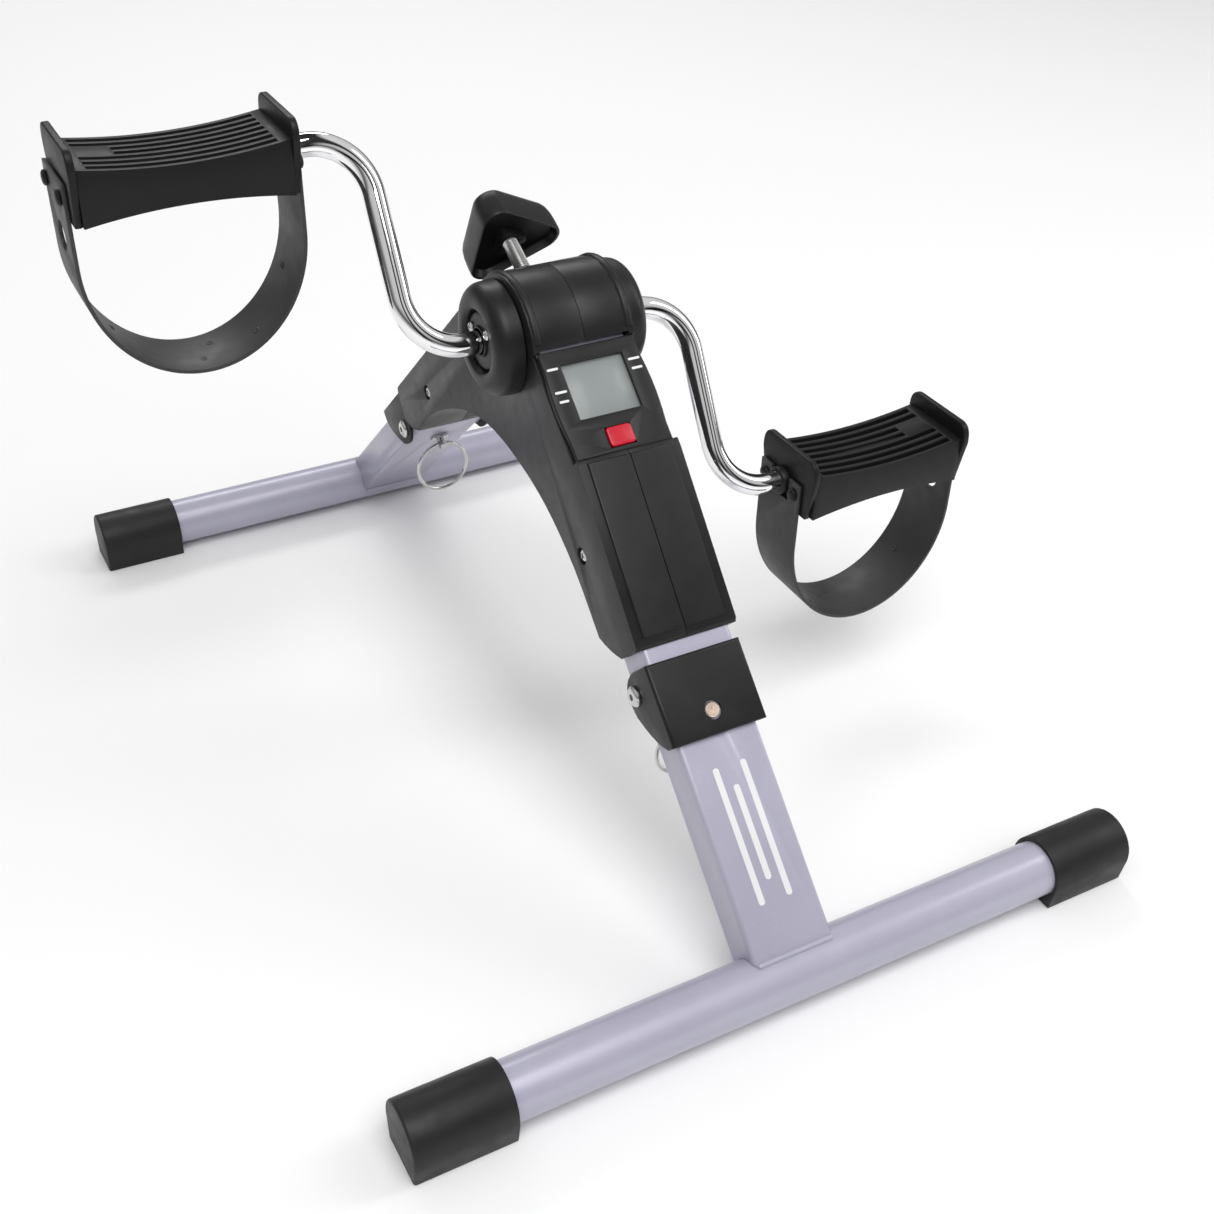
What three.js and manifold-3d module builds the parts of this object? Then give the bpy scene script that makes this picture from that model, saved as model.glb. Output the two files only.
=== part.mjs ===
// Folding pedal exerciser: an A-shaped steel frame on two floor bars, a two-part
// plastic housing with a small display, a bent-rod crankset with strap pedals,
// and a threaded knob that presses a brake pad on the drum inside the hub.
// Millimetres. +X is the user's right, -Y faces the user, +Z is up, and the
// floor is z = 0 with the origin midway between the two floor bars.

import * as THREE from 'three';
import { mergeVertices } from 'three/addons/utils/BufferGeometryUtils.js';
import Module from 'manifold-3d';

const wasm = await Module();
wasm.setup();

// ---------------------------------------------------------------- dimensions

const GAP = 0.3;                    // clearance between touching pieces
const REACH = 400;                  // longer than any cut has to be
const PAST = 1;                     // how far a cut runs past the face it opens

// Floor bars and their end caps
const footprint = 500;              // between the centres of the floor bars
const barLength = 390;              // floor bar with its end caps
const barDiameter = 28;
const barWall = 1.5;
const capLength = 48;
const capEnd = 3;                   // thickness of the closed end
const capWall = 2.2;
const capSole = 2;                  // rubber under the bar
const capShoulder = 2;              // the straight sides start this far under the bar's axis
const footWidth = barDiameter;      // flat part that rests on the floor
const barHeight = barDiameter / 2 + capSole;

// Legs and the upper tubes around them
const legAngle = THREE.MathUtils.degToRad(43.5);
const legWidth = 43.4;
const legDepth = 22;
const legWall = 1.5;
const legCorner = 2.4;
const frameWall = 1.6;
const frameClearance = 0.4;         // between a leg and the upper tube around it
const sleeveInner = legWidth / 2 + frameClearance;
const sleeveOuter = sleeveInner + frameWall;
const sleeveFace = legDepth / 2 + GAP + frameWall;
const apexAlong = footprint / 2 / Math.cos(legAngle);   // where the two legs' middle planes meet

// Hinges, measured along a leg from its floor bar
const pivotAlong = 144;             // hinge bolt
const pivotDrop = 6;                // hinge bolt, behind the leg's middle plane
const boltDiameter = 6;
const boltHeadRadius = 5.2;
const boltHeadHeight = 2.2;
const socketRadius = 1.9;
const nutHeight = 3;
const sleeveStart = pivotAlong - 28;    // lower end of the upper tube, inside its cover
const backOpening = pivotAlong + 24;    // the upper tube's back wall starts here
const coverStart = sleeveStart - 1.5;
const coverEnd = pivotAlong + 10.8;
const coverWall = 1.7;
const coverHeel = 9;                // cover depth behind the hinge bolt
const coverInner = sleeveOuter + GAP;
const coverOuter = coverInner + coverWall;
const coverFace = sleeveFace + GAP + coverWall;

// Lock pins and pull rings
const pinAlong = pivotAlong - 18;
const pinDiameter = 7.5;
const pinHeadRadius = 5.5;
const pinHeadThickness = 1.6;
const buttonWindow = 0.9;           // open ring around the button in the cover
const tongueRadius = 3.2;
const tongueHalf = 1.5;
const eyeRadius = 1.7;
const eyeAbove = -legDepth / 2 - 4.9;
const ringRadius = 16;              // to the middle of the wire
const ringWire = 2.2;

// Hub, drum and brake
const hubRadius = 20;
const hubWall = 1.8;
const hubLength = 42;
const hubDrop = 18.24;              // crank axis under the meeting point of the legs
const crankAxis = { y: -1.5, z: barHeight + footprint / 2 * Math.tan(legAngle) - hubDrop };
const bearingLength = 5.3;
const bearingClearance = 0.4;
const drumRadius = hubRadius - 6;
const drumLength = 18;
const padThickness = 2.9;
const padHalf = 7;
const padSpread = THREE.MathUtils.degToRad(32);
const magnetRadius = 2;
const magnetOffset = drumRadius - 3.5;
const sensorThickness = 2.4;
const sensorClearance = 0.6;

// Tension stud and knob, measured from the crank axis
const studAngle = THREE.MathUtils.degToRad(28);
const studDiameter = 8;
const studTravel = 2.5;             // in or out from the middle setting
const studNutRadius = 7.5;
const studNutHeight = 6.5;
const studHole = 9.5;               // radius of the way through the upper tubes
const studTip = drumRadius + GAP + padThickness + GAP + studTravel;
const knobStart = hubRadius + 33;   // underside of the knob
const knobHeight = 19;
const knobCorner = 19;              // knob corners are arcs about these points
const knobRounding = 9;
const knobBevel = 2.5;
const knobSocket = 12;              // depth of the stud in the knob

// Cranks
const rodDiameter = 11.5;
const crankThrow = { y: 52.7, z: 88.8 };   // left pedal axis from the crank axis
const crankBend = 27;

// Housing
const housingWall = 2.2;
const housingHalf = sleeveOuter + GAP + 3.2;
const housingBore = 10;             // hole for the crank in each shell
const barrel = { y: crankAxis.y - 3, z: crankAxis.z - 1, radius: hubRadius + 13 };
const noseAlong = pivotAlong + 13.2;    // lower end of the rear arm
const mouthAlong = pivotAlong + 18;     // lower end of the front arm
const passageEnd = pivotAlong + 56;     // the arms' ends are open to here
const panelLow = sleeveFace + GAP + housingWall + 0.4;   // front panel above the leg's middle
const panelHigh = panelLow + 5.8;
const panelTop = apexAlong - 94.7;
const panelCrease = { along: apexAlong - 33.7, above: panelHigh - 5 };
const screwHead = 3.4;
const screwShank = 1.6;
const screwRecess = 4.4;
const screwFloor = 0.8;             // plastic left under a screw head
const screwSpots = { front: [mouthAlong + 53.6, -8.4], rear: [noseAlong + 47.8, -2.2] };
const archUnder = -legDepth / 2;
const archFront = [[mouthAlong + 15, archUnder - 10.2], [mouthAlong + 56.1, archUnder - 11.9]];
const archCrown = [[-36.5, -66], [11.5, -58], [52.5, -66]];   // from the crank axis, in (y, z)
const archRear = [[noseAlong + 46.9, archUnder - 3.5], [noseAlong + 14.7, archUnder - 4]];

// Round covers over the hub ends
const coverDomeRadius = barrel.radius - 4.5;
const coverDomeFace = housingHalf + 13.8;
const coverRecess = 4.6;
const flangeRadius = rodDiameter / 2 + 8.75;
const flangeThickness = 2;
const hubScrewRadius = rodDiameter / 2 + 4.65;
const hubScrewAngles = [0.35, 0.35 + Math.PI * 2 / 3];
const hubScrewHead = 2.5;
const hubScrewShank = 1.2;

// Display, in its own axes: y up the slope, z out of its face
const display = { width: 2 * housingHalf + 0.2, length: 55.6, depth: 3.4 };
const displayAlong = apexAlong - 62.76;
const displayAbove = panelHigh - 3.32;
const displayAngle = legAngle - THREE.MathUtils.degToRad(3.2);
const displayBulge = 1.6;
const windowWidth = 33.8;
const windowLength = 29.2;
const windowOffset = 5.9;
const windowLap = 0.6;              // lens and LCD reach this far behind the frame
const buttonSize = { x: 13.2, y: 9.8 };
const buttonOffset = -20.1;
const caseHalf = 19.5;
const caseLow = -26.8;
const caseHigh = 24;
const caseDepth = 17;
const caseWall = 1.4;
const caseClearance = 0.8;
const faceThickness = 1.6;
const lensLayer = [-3, -1.9];       // each layer's bottom and top
const lcdLayer = [-6, -3.3];
const boardLayer = [-9.6, -8];
const cell = { x: 6, y: -12, radius: 5.8 };

// Pedals and foot straps
const crankOffset = coverDomeFace + 33;    // radial part of a crank, from the middle
const pedalInner = crankOffset + crankBend + 10.3;   // inner plate, from the middle
const pedalLength = 101.1;
const pedalOuter = pedalInner + pedalLength;
const pedalWidth = 44.2;
const pedalHeight = 27.1;
const pedalShift = -3.2;            // the tread is not quite centred on its axis
const plateThickness = 3.6;
const plateRise = 8;
const treadDip = 4.5;               // hollow of the tread at mid length
const ribCount = 8;
const ribWidth = 2.6;
const treadPad = { from: 22, to: 8 };      // filled part, from the outer plate's face
const bushRadius = rodDiameter / 2 + 1.15;
const bushCollar = { radius: bushRadius + 0.7, length: 4.5 };   // collar outside the inner plate
const tubeWall = 1.1;               // tube in the pedal around its bush
const bushClearance = 0.2;          // between the rod and its bush
const rodEnd = pedalOuter - 7.4;    // tip of the rod inside the pedal
const pegSpots = [-13, 13];
const pegRadius = 2.4;
const pegHead = 3.6;
const pegHeadHeight = 2;
const pegHeight = -2;
const strapWidth = 36;
const strapThickness = 1.8;
const strapDrop = 94;               // lowest point under the pedal axis
const strapTop = 5;
const strapStraight = 34;           // the ends hang straight this far under the axis
const gripHole = { radius: 7, drop: 24 };

// ----------------------------------------------------------------- materials

const finish = (color, roughness, metalness) =>
  new THREE.MeshStandardMaterial({ color, roughness, metalness });

const paint = finish(0xb6b4c6, 0.42, 0.35);
const blackPlastic = finish(0x2d2c2e, 0.5, 0);
const housingPlastic = finish(0x353536, 0.45, 0);
const rubber = finish(0x252526, 0.75, 0);
const chrome = finish(0xd8d8da, 0.08, 1);
const zinc = finish(0xbfc0c2, 0.3, 1);
const coppered = finish(0xe3c9ba, 0.35, 0.9);
const nylon = finish(0xe9e6dc, 0.55, 0);
const felt = finish(0x6c5b47, 0.95, 0);
const lcdGlass = finish(0x7d8784, 0.25, 0);
const clear = finish(0xcfd8d8, 0.08, 0);
const board = finish(0x24603a, 0.5, 0);
const red = finish(0xd8102a, 0.35, 0);
const magnetMetal = finish(0x8c8c90, 0.25, 1);

// ------------------------------------------------------------ solid modelling

/** A closed three.js geometry as a solid that can be joined and cut. */
function solid(geometry) {
  const bare = geometry.clone();
  bare.deleteAttribute('normal');
  bare.deleteAttribute('uv');
  const merged = mergeVertices(bare, 1e-4);
  const build = (triangles) => new wasm.Manifold(new wasm.Mesh({
    numProp: 3,
    vertProperties: new Float32Array(merged.attributes.position.array),
    triVerts: new Uint32Array(triangles),
  }));
  const body = build(merged.index.array);
  // A profile may run either way round: the faces are made to point out.
  return body.volume() > 0 ? body : build([...merged.index.array].reverse());
}

/** A named mesh of a solid. */
function mesh(name, body, material) {
  const data = body.getMesh();
  const geometry = new THREE.BufferGeometry();
  const positions = new THREE.BufferAttribute(new Float32Array(data.vertProperties), 3);
  geometry.setAttribute('position', positions);
  geometry.setIndex(new THREE.BufferAttribute(new Uint32Array(data.triVerts), 1));
  geometry.computeVertexNormals();
  const result = new THREE.Mesh(geometry, material);
  result.name = name;
  return result;
}

const alongX = new THREE.Matrix4().makeBasis(
  new THREE.Vector3(0, 1, 0),
  new THREE.Vector3(0, 0, 1),
  new THREE.Vector3(1, 0, 0),
);

/** A side-view outline in (y, z), extruded across the width from x0 to x1. */
function prism(shape, x0, x1, curveSegments = 12) {
  const geometry = new THREE.ExtrudeGeometry(shape, {
    depth: x1 - x0,
    bevelEnabled: false,
    curveSegments,
  });
  geometry.applyMatrix4(alongX);
  geometry.translate(x0, 0, 0);
  return solid(geometry);
}

/** A box between two corners. */
function box(x0, x1, y0, y1, z0, z1) {
  const geometry = new THREE.BoxGeometry(x1 - x0, y1 - y0, z1 - z0);
  geometry.translate((x0 + x1) / 2, (y0 + y1) / 2, (z0 + z1) / 2);
  return solid(geometry);
}

/** A round bar along X about (y, z). */
function barX(radius, x0, x1, y = 0, z = 0, segments = 24) {
  const geometry = new THREE.CylinderGeometry(radius, radius, x1 - x0, segments);
  geometry.rotateZ(-Math.PI / 2);
  geometry.translate((x0 + x1) / 2, y, z);
  return solid(geometry);
}

/** A round bar along Z about (x, y). */
function barZ(radius, z0, z1, x = 0, y = 0, segments = 20) {
  const geometry = new THREE.CylinderGeometry(radius, radius, z1 - z0, segments);
  geometry.rotateX(Math.PI / 2);
  geometry.translate(x, y, (z0 + z1) / 2);
  return solid(geometry);
}

/** A turned piece: the closed profile of [x, radius] pairs, spun about X. */
function turned(profile, segments = 32) {
  const points = profile.map(([x, radius]) => new THREE.Vector2(radius, x));
  points.push(points[0].clone());
  const geometry = new THREE.LatheGeometry(points, segments);
  geometry.rotateZ(-Math.PI / 2);
  return solid(geometry);
}

/** A rectangle with rounded corners, centred at (cu, cv). */
function roundedRectangle(width, height, radius, cu = 0, cv = 0) {
  const w = width / 2 - radius;
  const h = height / 2 - radius;
  const shape = new THREE.Shape();
  shape.absarc(cu + w, cv - h, radius, -Math.PI / 2, 0);
  shape.absarc(cu + w, cv + h, radius, 0, Math.PI / 2);
  shape.absarc(cu - w, cv + h, radius, Math.PI / 2, Math.PI);
  shape.absarc(cu - w, cv - h, radius, Math.PI, Math.PI * 1.5);
  return shape;
}

/** A rectangular bar along Y with rounded edges, between z0 and z1. */
function barY(width, z0, z1, radius, y0, y1) {
  const section = roundedRectangle(width, z1 - z0, radius, 0, -(z0 + z1) / 2);
  const geometry = new THREE.ExtrudeGeometry(section, {
    depth: y1 - y0,
    bevelEnabled: false,
    curveSegments: 3,
  });
  geometry.rotateX(-Math.PI / 2);
  geometry.translate(0, y0, 0);
  return solid(geometry);
}

/** Moves a solid with a three.js matrix. */
function moved(body, matrix) {
  return body.transform(matrix.toArray());
}

/** The mirror image of a solid on the other side of x = 0. */
function mirrored(body) {
  return body.mirror([1, 0, 0]);
}

// -------------------------------------------------- frame of the folding arms
// An arm's own axes: y runs up along the leg from the middle of its floor bar,
// and z stands square to the leg, away from the inside of the frame.

function armGroup(end) {
  const tilt = new THREE.Group();
  tilt.rotation.x = legAngle;
  const arm = new THREE.Group();
  arm.position.set(0, end * footprint / 2, barHeight);
  arm.rotation.z = end < 0 ? 0 : Math.PI;
  arm.add(tilt);
  arm.updateMatrixWorld(true);
  return { arm, tilt };
}

const arms = { front: armGroup(-1), rear: armGroup(1) };

/** A point given along and above the leg of one arm, as world [y, z]. */
function armPoint(end, along, above) {
  const y = along * Math.cos(legAngle) - above * Math.sin(legAngle);
  const z = along * Math.sin(legAngle) + above * Math.cos(legAngle);
  return [end * (footprint / 2 - y), barHeight + z];
}

/** World [y, z] as [along, above] of one arm. */
function armCoordinates(end, y, z) {
  const inward = footprint / 2 - end * y;
  const up = z - barHeight;
  return [
    inward * Math.cos(legAngle) + up * Math.sin(legAngle),
    -inward * Math.sin(legAngle) + up * Math.cos(legAngle),
  ];
}

// ---------------------------------------------------------------- floor bars

function floorBar(name) {
  const half = barLength / 2 - capEnd - GAP;
  const radius = barDiameter / 2;
  const body = barX(radius, -half, half)
    .subtract(barX(radius - barWall, -half - PAST, half + PAST));
  return mesh(name, body, paint);
}

/** Outline of an end cap about the bar's axis: round above, flat below. */
function capOutline() {
  const radius = barDiameter / 2 + capWall;
  const shape = new THREE.Shape();
  shape.moveTo(-footWidth / 2, -barHeight);
  shape.lineTo(footWidth / 2, -barHeight);
  shape.lineTo(radius, -capShoulder);
  shape.absarc(0, 0, radius, 0, Math.PI);
  shape.lineTo(-radius, -capShoulder);
  return shape;
}

function endCap(name, side) {
  const outer = barLength / 2;
  const bore = barDiameter / 2 + GAP;
  const blank = prism(capOutline(), outer - capLength, outer, 8);
  const body = blank.subtract(barX(bore, outer - capLength - PAST, outer - capEnd));
  return mesh(name, side > 0 ? body : mirrored(body), rubber);
}

// ---------------------------------------------------------------------- legs

/** The hole for the hinge bolt, right across an arm. */
function boltHole() {
  return barX(boltDiameter / 2 + GAP, -REACH, REACH, pivotAlong, -pivotDrop, 14);
}

function legTube(name) {
  const half = legDepth / 2;
  const swing = half + pivotDrop;         // the rounded end turns about the bolt
  const end = pivotAlong + 8;
  const outside = barY(legWidth, -half, half, legCorner, 0, end);
  const hollow = barY(legWidth - 2 * legWall, -half + legWall, half - legWall,
    legCorner - legWall, -PAST, end + PAST);
  const topCorner = box(-legWidth, legWidth, pivotAlong, REACH, -pivotDrop, REACH)
    .subtract(barX(swing, -REACH, REACH, pivotAlong, -pivotDrop, 28));
  const body = outside
    .subtract(hollow)
    .subtract(barX(barDiameter / 2 + GAP, -legWidth, legWidth))
    .subtract(topCorner)
    .subtract(boltHole())
    .subtract(barZ(pinDiameter / 2 + GAP, -REACH, REACH, 0, pinAlong, 14));
  return mesh(name, body, paint);
}

// --------------------------------------------------------------- upper tubes

/** Side outline kept around the hinge, where the back of the tube is open. */
function hingeOutline() {
  const back = -legDepth / 2 - PAST;
  const far = apexAlong + REACH;
  const shape = new THREE.Shape();
  shape.moveTo(sleeveStart, legDepth / 2 - 2);
  shape.lineTo(sleeveStart + 9, -pivotDrop + 2);
  shape.lineTo(pivotAlong - 8, back);
  shape.lineTo(far, back);
  shape.lineTo(far, REACH);
  shape.lineTo(sleeveStart, REACH);
  return shape;
}

/** A solid built on +Z, turned to point outwards along the stud. */
function onStud(body) {
  const turn = new THREE.Matrix4().makeRotationX(studAngle - Math.PI / 2);
  const place = new THREE.Matrix4().makeTranslation(0, crankAxis.y, crankAxis.z);
  return moved(body, place.multiply(turn));
}

function upperTube(name, end, screwSpot) {
  const [hubAlong] = armCoordinates(end, crankAxis.y, crankAxis.z);
  const top = hubAlong - hubRadius * 0.6;
  const back = -legDepth / 2;
  const { tilt } = arms[end < 0 ? 'front' : 'rear'];
  const intoArm = tilt.matrixWorld.clone().invert();
  const inner = sleeveInner;
  const outside = barY(2 * sleeveOuter, back, sleeveFace, legCorner, sleeveStart, top);
  const hollow = barY(2 * inner, back + frameWall, sleeveFace - frameWall,
    legCorner - frameWall, sleeveStart - PAST, top + PAST);
  const backWindow = box(-inner, inner, sleeveStart - PAST, backOpening,
    -REACH, back + frameWall + PAST);
  const keep = prism(hingeOutline(), -REACH, REACH);
  const hubClearance = moved(
    barX(hubRadius + GAP, -REACH, REACH, crankAxis.y, crankAxis.z, 28), intoArm);
  const studClearance = moved(onStud(barZ(studHole, hubRadius, REACH)), intoArm);
  let body = outside
    .subtract(hollow)
    .subtract(backWindow)
    .intersect(keep)
    .subtract(hubClearance)
    .subtract(studClearance)
    .subtract(boltHole())
    .subtract(barZ(pinDiameter / 2 + GAP, 0, REACH, 0, pinAlong, 14))
    .subtract(barX(screwShank + GAP, -REACH, REACH, screwSpot[0], screwSpot[1], 12));
  if (end < 0) {
    const slot = box(-caseHalf - PAST, caseHalf + PAST, caseLow - PAST, caseHigh + PAST,
      -caseDepth - PAST, REACH);
    body = body.subtract(moved(moved(slot, displayFrame), intoArm));
  }
  return mesh(name, body, paint);
}

// ---------------------------------------------------------------- hinge parts

/** Side outline of a hinge cover, rounded under the hinge bolt. */
function coverSide() {
  const back = -pivotDrop - coverHeel;
  const shape = new THREE.Shape();
  shape.moveTo(coverStart, coverFace);
  shape.lineTo(coverStart, legDepth / 2 - 3);
  shape.quadraticCurveTo(coverStart + 4, -2, pivotAlong - 10, back + 2);
  shape.quadraticCurveTo(pivotAlong - 4, back - 0.5, pivotAlong + 3, back + 0.5);
  shape.quadraticCurveTo(coverEnd - 1.5, back + 3, coverEnd, -2);
  shape.lineTo(coverEnd, coverFace);
  return shape;
}

function hingeCover(name) {
  const outside = prism(coverSide(), -coverOuter, coverOuter, 5);
  const inside = box(-coverInner, coverInner, coverStart - PAST, coverEnd + PAST,
    -REACH, coverFace - coverWall);
  const body = outside
    .subtract(inside)
    .subtract(boltHole())
    .subtract(barZ(pinDiameter / 2 + buttonWindow, 0, REACH, 0, pinAlong));
  return mesh(name, body, blackPlastic);
}

/** Hinge bolt with a domed socket head on the left and a domed nut on the right. */
function pivotBolt(name, side) {
  const face = coverOuter + GAP;
  const shank = boltDiameter / 2;
  const head = turned([
    [-face, 0], [-face, boltHeadRadius], [-face - 0.8, boltHeadRadius],
    [-face - boltHeadHeight, boltHeadRadius - 1.6], [-face - boltHeadHeight, 0],
  ], 16);
  const socket = barX(socketRadius, -face - REACH, -face - 0.7, 0, 0, 6);
  const stem = barX(shank, -face - 0.5, face + nutHeight - 0.8, 0, 0, 12);
  const bolt = stem.add(head).subtract(socket)
    .translate([0, pivotAlong, -pivotDrop]);
  return mesh(name, side < 0 ? bolt : mirrored(bolt), zinc);
}

/** Domed nut on the bolt's far end. */
function pivotNut(name, side) {
  const face = coverOuter + GAP;
  const shank = boltDiameter / 2 + GAP;
  const nut = turned([
    [face, shank], [face, boltHeadRadius], [face + nutHeight / 2, boltHeadRadius],
    [face + nutHeight, boltHeadRadius - 1.4], [face + nutHeight, shank],
  ], 16).translate([0, pivotAlong, -pivotDrop]);
  return mesh(name, side < 0 ? nut : mirrored(nut), zinc);
}

/** Round metal button that shows in the cover where the lock pin seats. */
function pinButton(name) {
  const seat = legDepth / 2 + 2 * GAP;
  const body = barZ(pinDiameter / 2, seat, coverFace - 0.2, 0, pinAlong, 18)
    .subtract(barZ(1, coverFace - 0.8, REACH, 0, pinAlong, 8));
  return mesh(name, body, coppered);
}

/** Lock pin: a plain shank, a collar on the leg's back face and an eye. */
function lockPin(name) {
  const collarTop = -legDepth / 2 - GAP;
  const shank = barZ(pinDiameter / 2, collarTop - PAST, legDepth / 2, 0, pinAlong, 14);
  const collar = barZ(pinHeadRadius, collarTop - pinHeadThickness, collarTop, 0, pinAlong, 16);
  const tongue = barX(tongueRadius, -tongueHalf, tongueHalf, pinAlong, eyeAbove, 14)
    .add(box(-tongueHalf, tongueHalf, pinAlong - tongueRadius, pinAlong + tongueRadius,
      eyeAbove, collarTop - PAST));
  const body = shank.add(collar).add(tongue)
    .subtract(barX(eyeRadius, -REACH, REACH, pinAlong, eyeAbove, 14));
  return mesh(name, body, zinc);
}

/** Pull ring hanging plumb from the pin's eye, across the frame. */
function pullRing(name) {
  const geometry = new THREE.TorusGeometry(ringRadius, ringWire / 2, 6, 24);
  geometry.rotateX(Math.PI / 2 - legAngle);
  const down = [-Math.sin(legAngle), -Math.cos(legAngle)];
  geometry.translate(0, pinAlong + ringRadius * down[0], eyeAbove + ringRadius * down[1]);
  return mesh(name, solid(geometry), zinc);
}

// ----------------------------------------------------------------- housing

/** The housing's side outline: front panel, barrel, rear arm and the arch below. */
function housingOutline() {
  const rearFace = armCoordinates(1, barrel.y, barrel.z)[1] + barrel.radius;
  const shape = new THREE.Shape();
  shape.moveTo(...armPoint(-1, mouthAlong + 2, panelLow));
  shape.lineTo(...armPoint(-1, panelTop, panelHigh));
  shape.lineTo(...armPoint(-1, panelCrease.along, panelCrease.above));
  shape.absarc(barrel.y, barrel.z, barrel.radius, Math.PI * 0.93, Math.PI / 2 - legAngle, true);
  shape.lineTo(...armPoint(1, noseAlong + 3, rearFace));
  shape.quadraticCurveTo(...armPoint(1, noseAlong, rearFace),
    ...armPoint(1, noseAlong - 0.5, rearFace - 3));
  shape.quadraticCurveTo(...armPoint(1, noseAlong - 3, 3), ...armPoint(1, noseAlong - 2, -3));
  const arch = [
    ...archRear.map((point) => armPoint(1, ...point)).reverse(),
    ...archCrown.map(([y, z]) => [crankAxis.y + y, crankAxis.z + z]).reverse(),
    ...archFront.map((point) => armPoint(-1, ...point)).reverse(),
  ];
  shape.quadraticCurveTo(...armPoint(1, noseAlong + 3, archUnder - 1), ...arch.shift());
  shape.splineThru(arch.map(([y, z]) => new THREE.Vector2(y, z)));
  shape.quadraticCurveTo(...armPoint(-1, mouthAlong + 6, -14), ...armPoint(-1, mouthAlong + 0.5, -4));
  shape.lineTo(...armPoint(-1, mouthAlong, panelLow - 2));
  return shape;
}

/** The same outline moved inwards, so that a wall is left around it. */
function inset(shape, distance, curveSegments) {
  const points = shape.getPoints(curveSegments);
  const clean = points.filter((p, i) => p.distanceTo(points[(i + 1) % points.length]) > 0.02);
  const clockwise = THREE.ShapeUtils.isClockWise(clean);
  const shifted = clean.map((p, i) => {
    const before = clean[(i + clean.length - 1) % clean.length];
    const after = clean[(i + 1) % clean.length];
    const a = p.clone().sub(before).normalize();
    const b = after.clone().sub(p).normalize();
    const normal = new THREE.Vector2(-(a.y + b.y), a.x + b.x).normalize();
    if (clockwise) normal.negate();
    const spread = Math.max(0.5, Math.abs(-a.y * normal.x + a.x * normal.y));
    return p.clone().addScaledVector(normal, distance / spread);
  });
  return new THREE.Shape(shifted);
}

const displayFrame = new THREE.Matrix4()
  .makeTranslation(0, ...armPoint(-1, displayAlong, displayAbove))
  .multiply(new THREE.Matrix4().makeRotationX(displayAngle));

function housingShell(name, side) {
  const parting = GAP / 2;
  const flank = sleeveOuter + GAP;
  const outline = housingOutline();
  const seat = box(-REACH, REACH, -display.length / 2 - GAP, display.length / 2 + GAP,
    -display.depth - GAP, REACH);
  const neck = box(-caseHalf - caseClearance, caseHalf + caseClearance,
    caseLow - caseClearance, caseHigh + caseClearance, -caseDepth, REACH);
  let body = prism(outline, parting, housingHalf, 4)
    .subtract(prism(inset(outline, housingWall, 4), -PAST, flank))
    .subtract(barX(housingBore, 0, REACH, crankAxis.y, crankAxis.z))
    .subtract(onStud(barZ(studDiameter / 2 + 1.2, hubRadius, knobStart)))
    .subtract(moved(seat, displayFrame))
    .subtract(moved(neck, displayFrame));
  for (const [key, spot] of Object.entries(screwSpots)) {
    const end = key === 'front' ? -1 : 1;
    const passage = barY(2 * flank, -legDepth / 2 - GAP, sleeveFace + GAP, legCorner,
      sleeveStart, passageEnd);
    body = body.subtract(moved(passage, arms[key].tilt.matrixWorld));
    const [y, z] = armPoint(end, ...spot);
    body = body
      .subtract(barX(screwShank + GAP, flank - PAST, REACH, y, z, 12))
      .subtract(barX(screwRecess, flank + screwFloor, REACH, y, z, 18));
  }
  return mesh(name, side > 0 ? body : mirrored(body), housingPlastic);
}

/** Screw through the housing's flank into the side wall of an upper tube. */
function housingScrew(name, key, side) {
  const end = key === 'front' ? -1 : 1;
  const [y, z] = armPoint(end, ...screwSpots[key]);
  const seat = sleeveOuter + GAP + screwFloor + GAP;
  const body = screw(screwHead, screwShank, seat, seat + 1.7, sleeveInner - 5)
    .translate([0, y, z]);
  return mesh(name, side > 0 ? body : mirrored(body), zinc);
}

/** A pan-head screw along X with a crossed driver recess. */
function screw(headRadius, shankRadius, seat, top, tip) {
  const head = turned([
    [seat, 0], [seat, headRadius], [seat + 0.6, headRadius], [top, headRadius * 0.72], [top, 0],
  ], 12);
  const slotWidth = headRadius * 0.14;
  const slotLength = headRadius * 0.55;
  const slot = box(top - 0.7, top + 1, -slotWidth, slotWidth, -slotLength, slotLength)
    .add(box(top - 0.7, top + 1, -slotLength, slotLength, -slotWidth, slotWidth));
  return head.add(barX(shankRadius, tip, seat + 0.3, 0, 0, 8)).subtract(slot);
}

// ---------------------------------------------------------- hub end covers

function hubCover(name, side) {
  const start = housingHalf + GAP;
  const face = coverDomeFace;
  const rim = coverDomeRadius;
  const wall = housingWall;
  const floor = face - coverRecess;
  let body = turned([
    [start, rim], [face - 6, rim - 0.6], [face - 2.4, rim - 2.2], [face - 0.6, rim - 5],
    [face, rim - 8], [face, flangeRadius + 2.6], [face - 0.8, flangeRadius + 1.2],
    [floor, flangeRadius + 0.4], [floor, rodDiameter / 2 + 1.5],
    [floor - wall, rodDiameter / 2 + 1.5], [floor - wall, flangeRadius + 4],
    [face - wall - 2, rim - 6], [start, rim - wall],
  ], 24);
  for (const angle of hubScrewAngles) {
    const y = hubScrewRadius * Math.cos(angle);
    const z = hubScrewRadius * Math.sin(angle);
    body = body.subtract(barX(hubScrewShank + GAP, 0, REACH, y, z, 10));
  }
  body = body.translate([0, crankAxis.y, crankAxis.z]);
  return mesh(name, side > 0 ? body : mirrored(body), blackPlastic);
}

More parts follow.
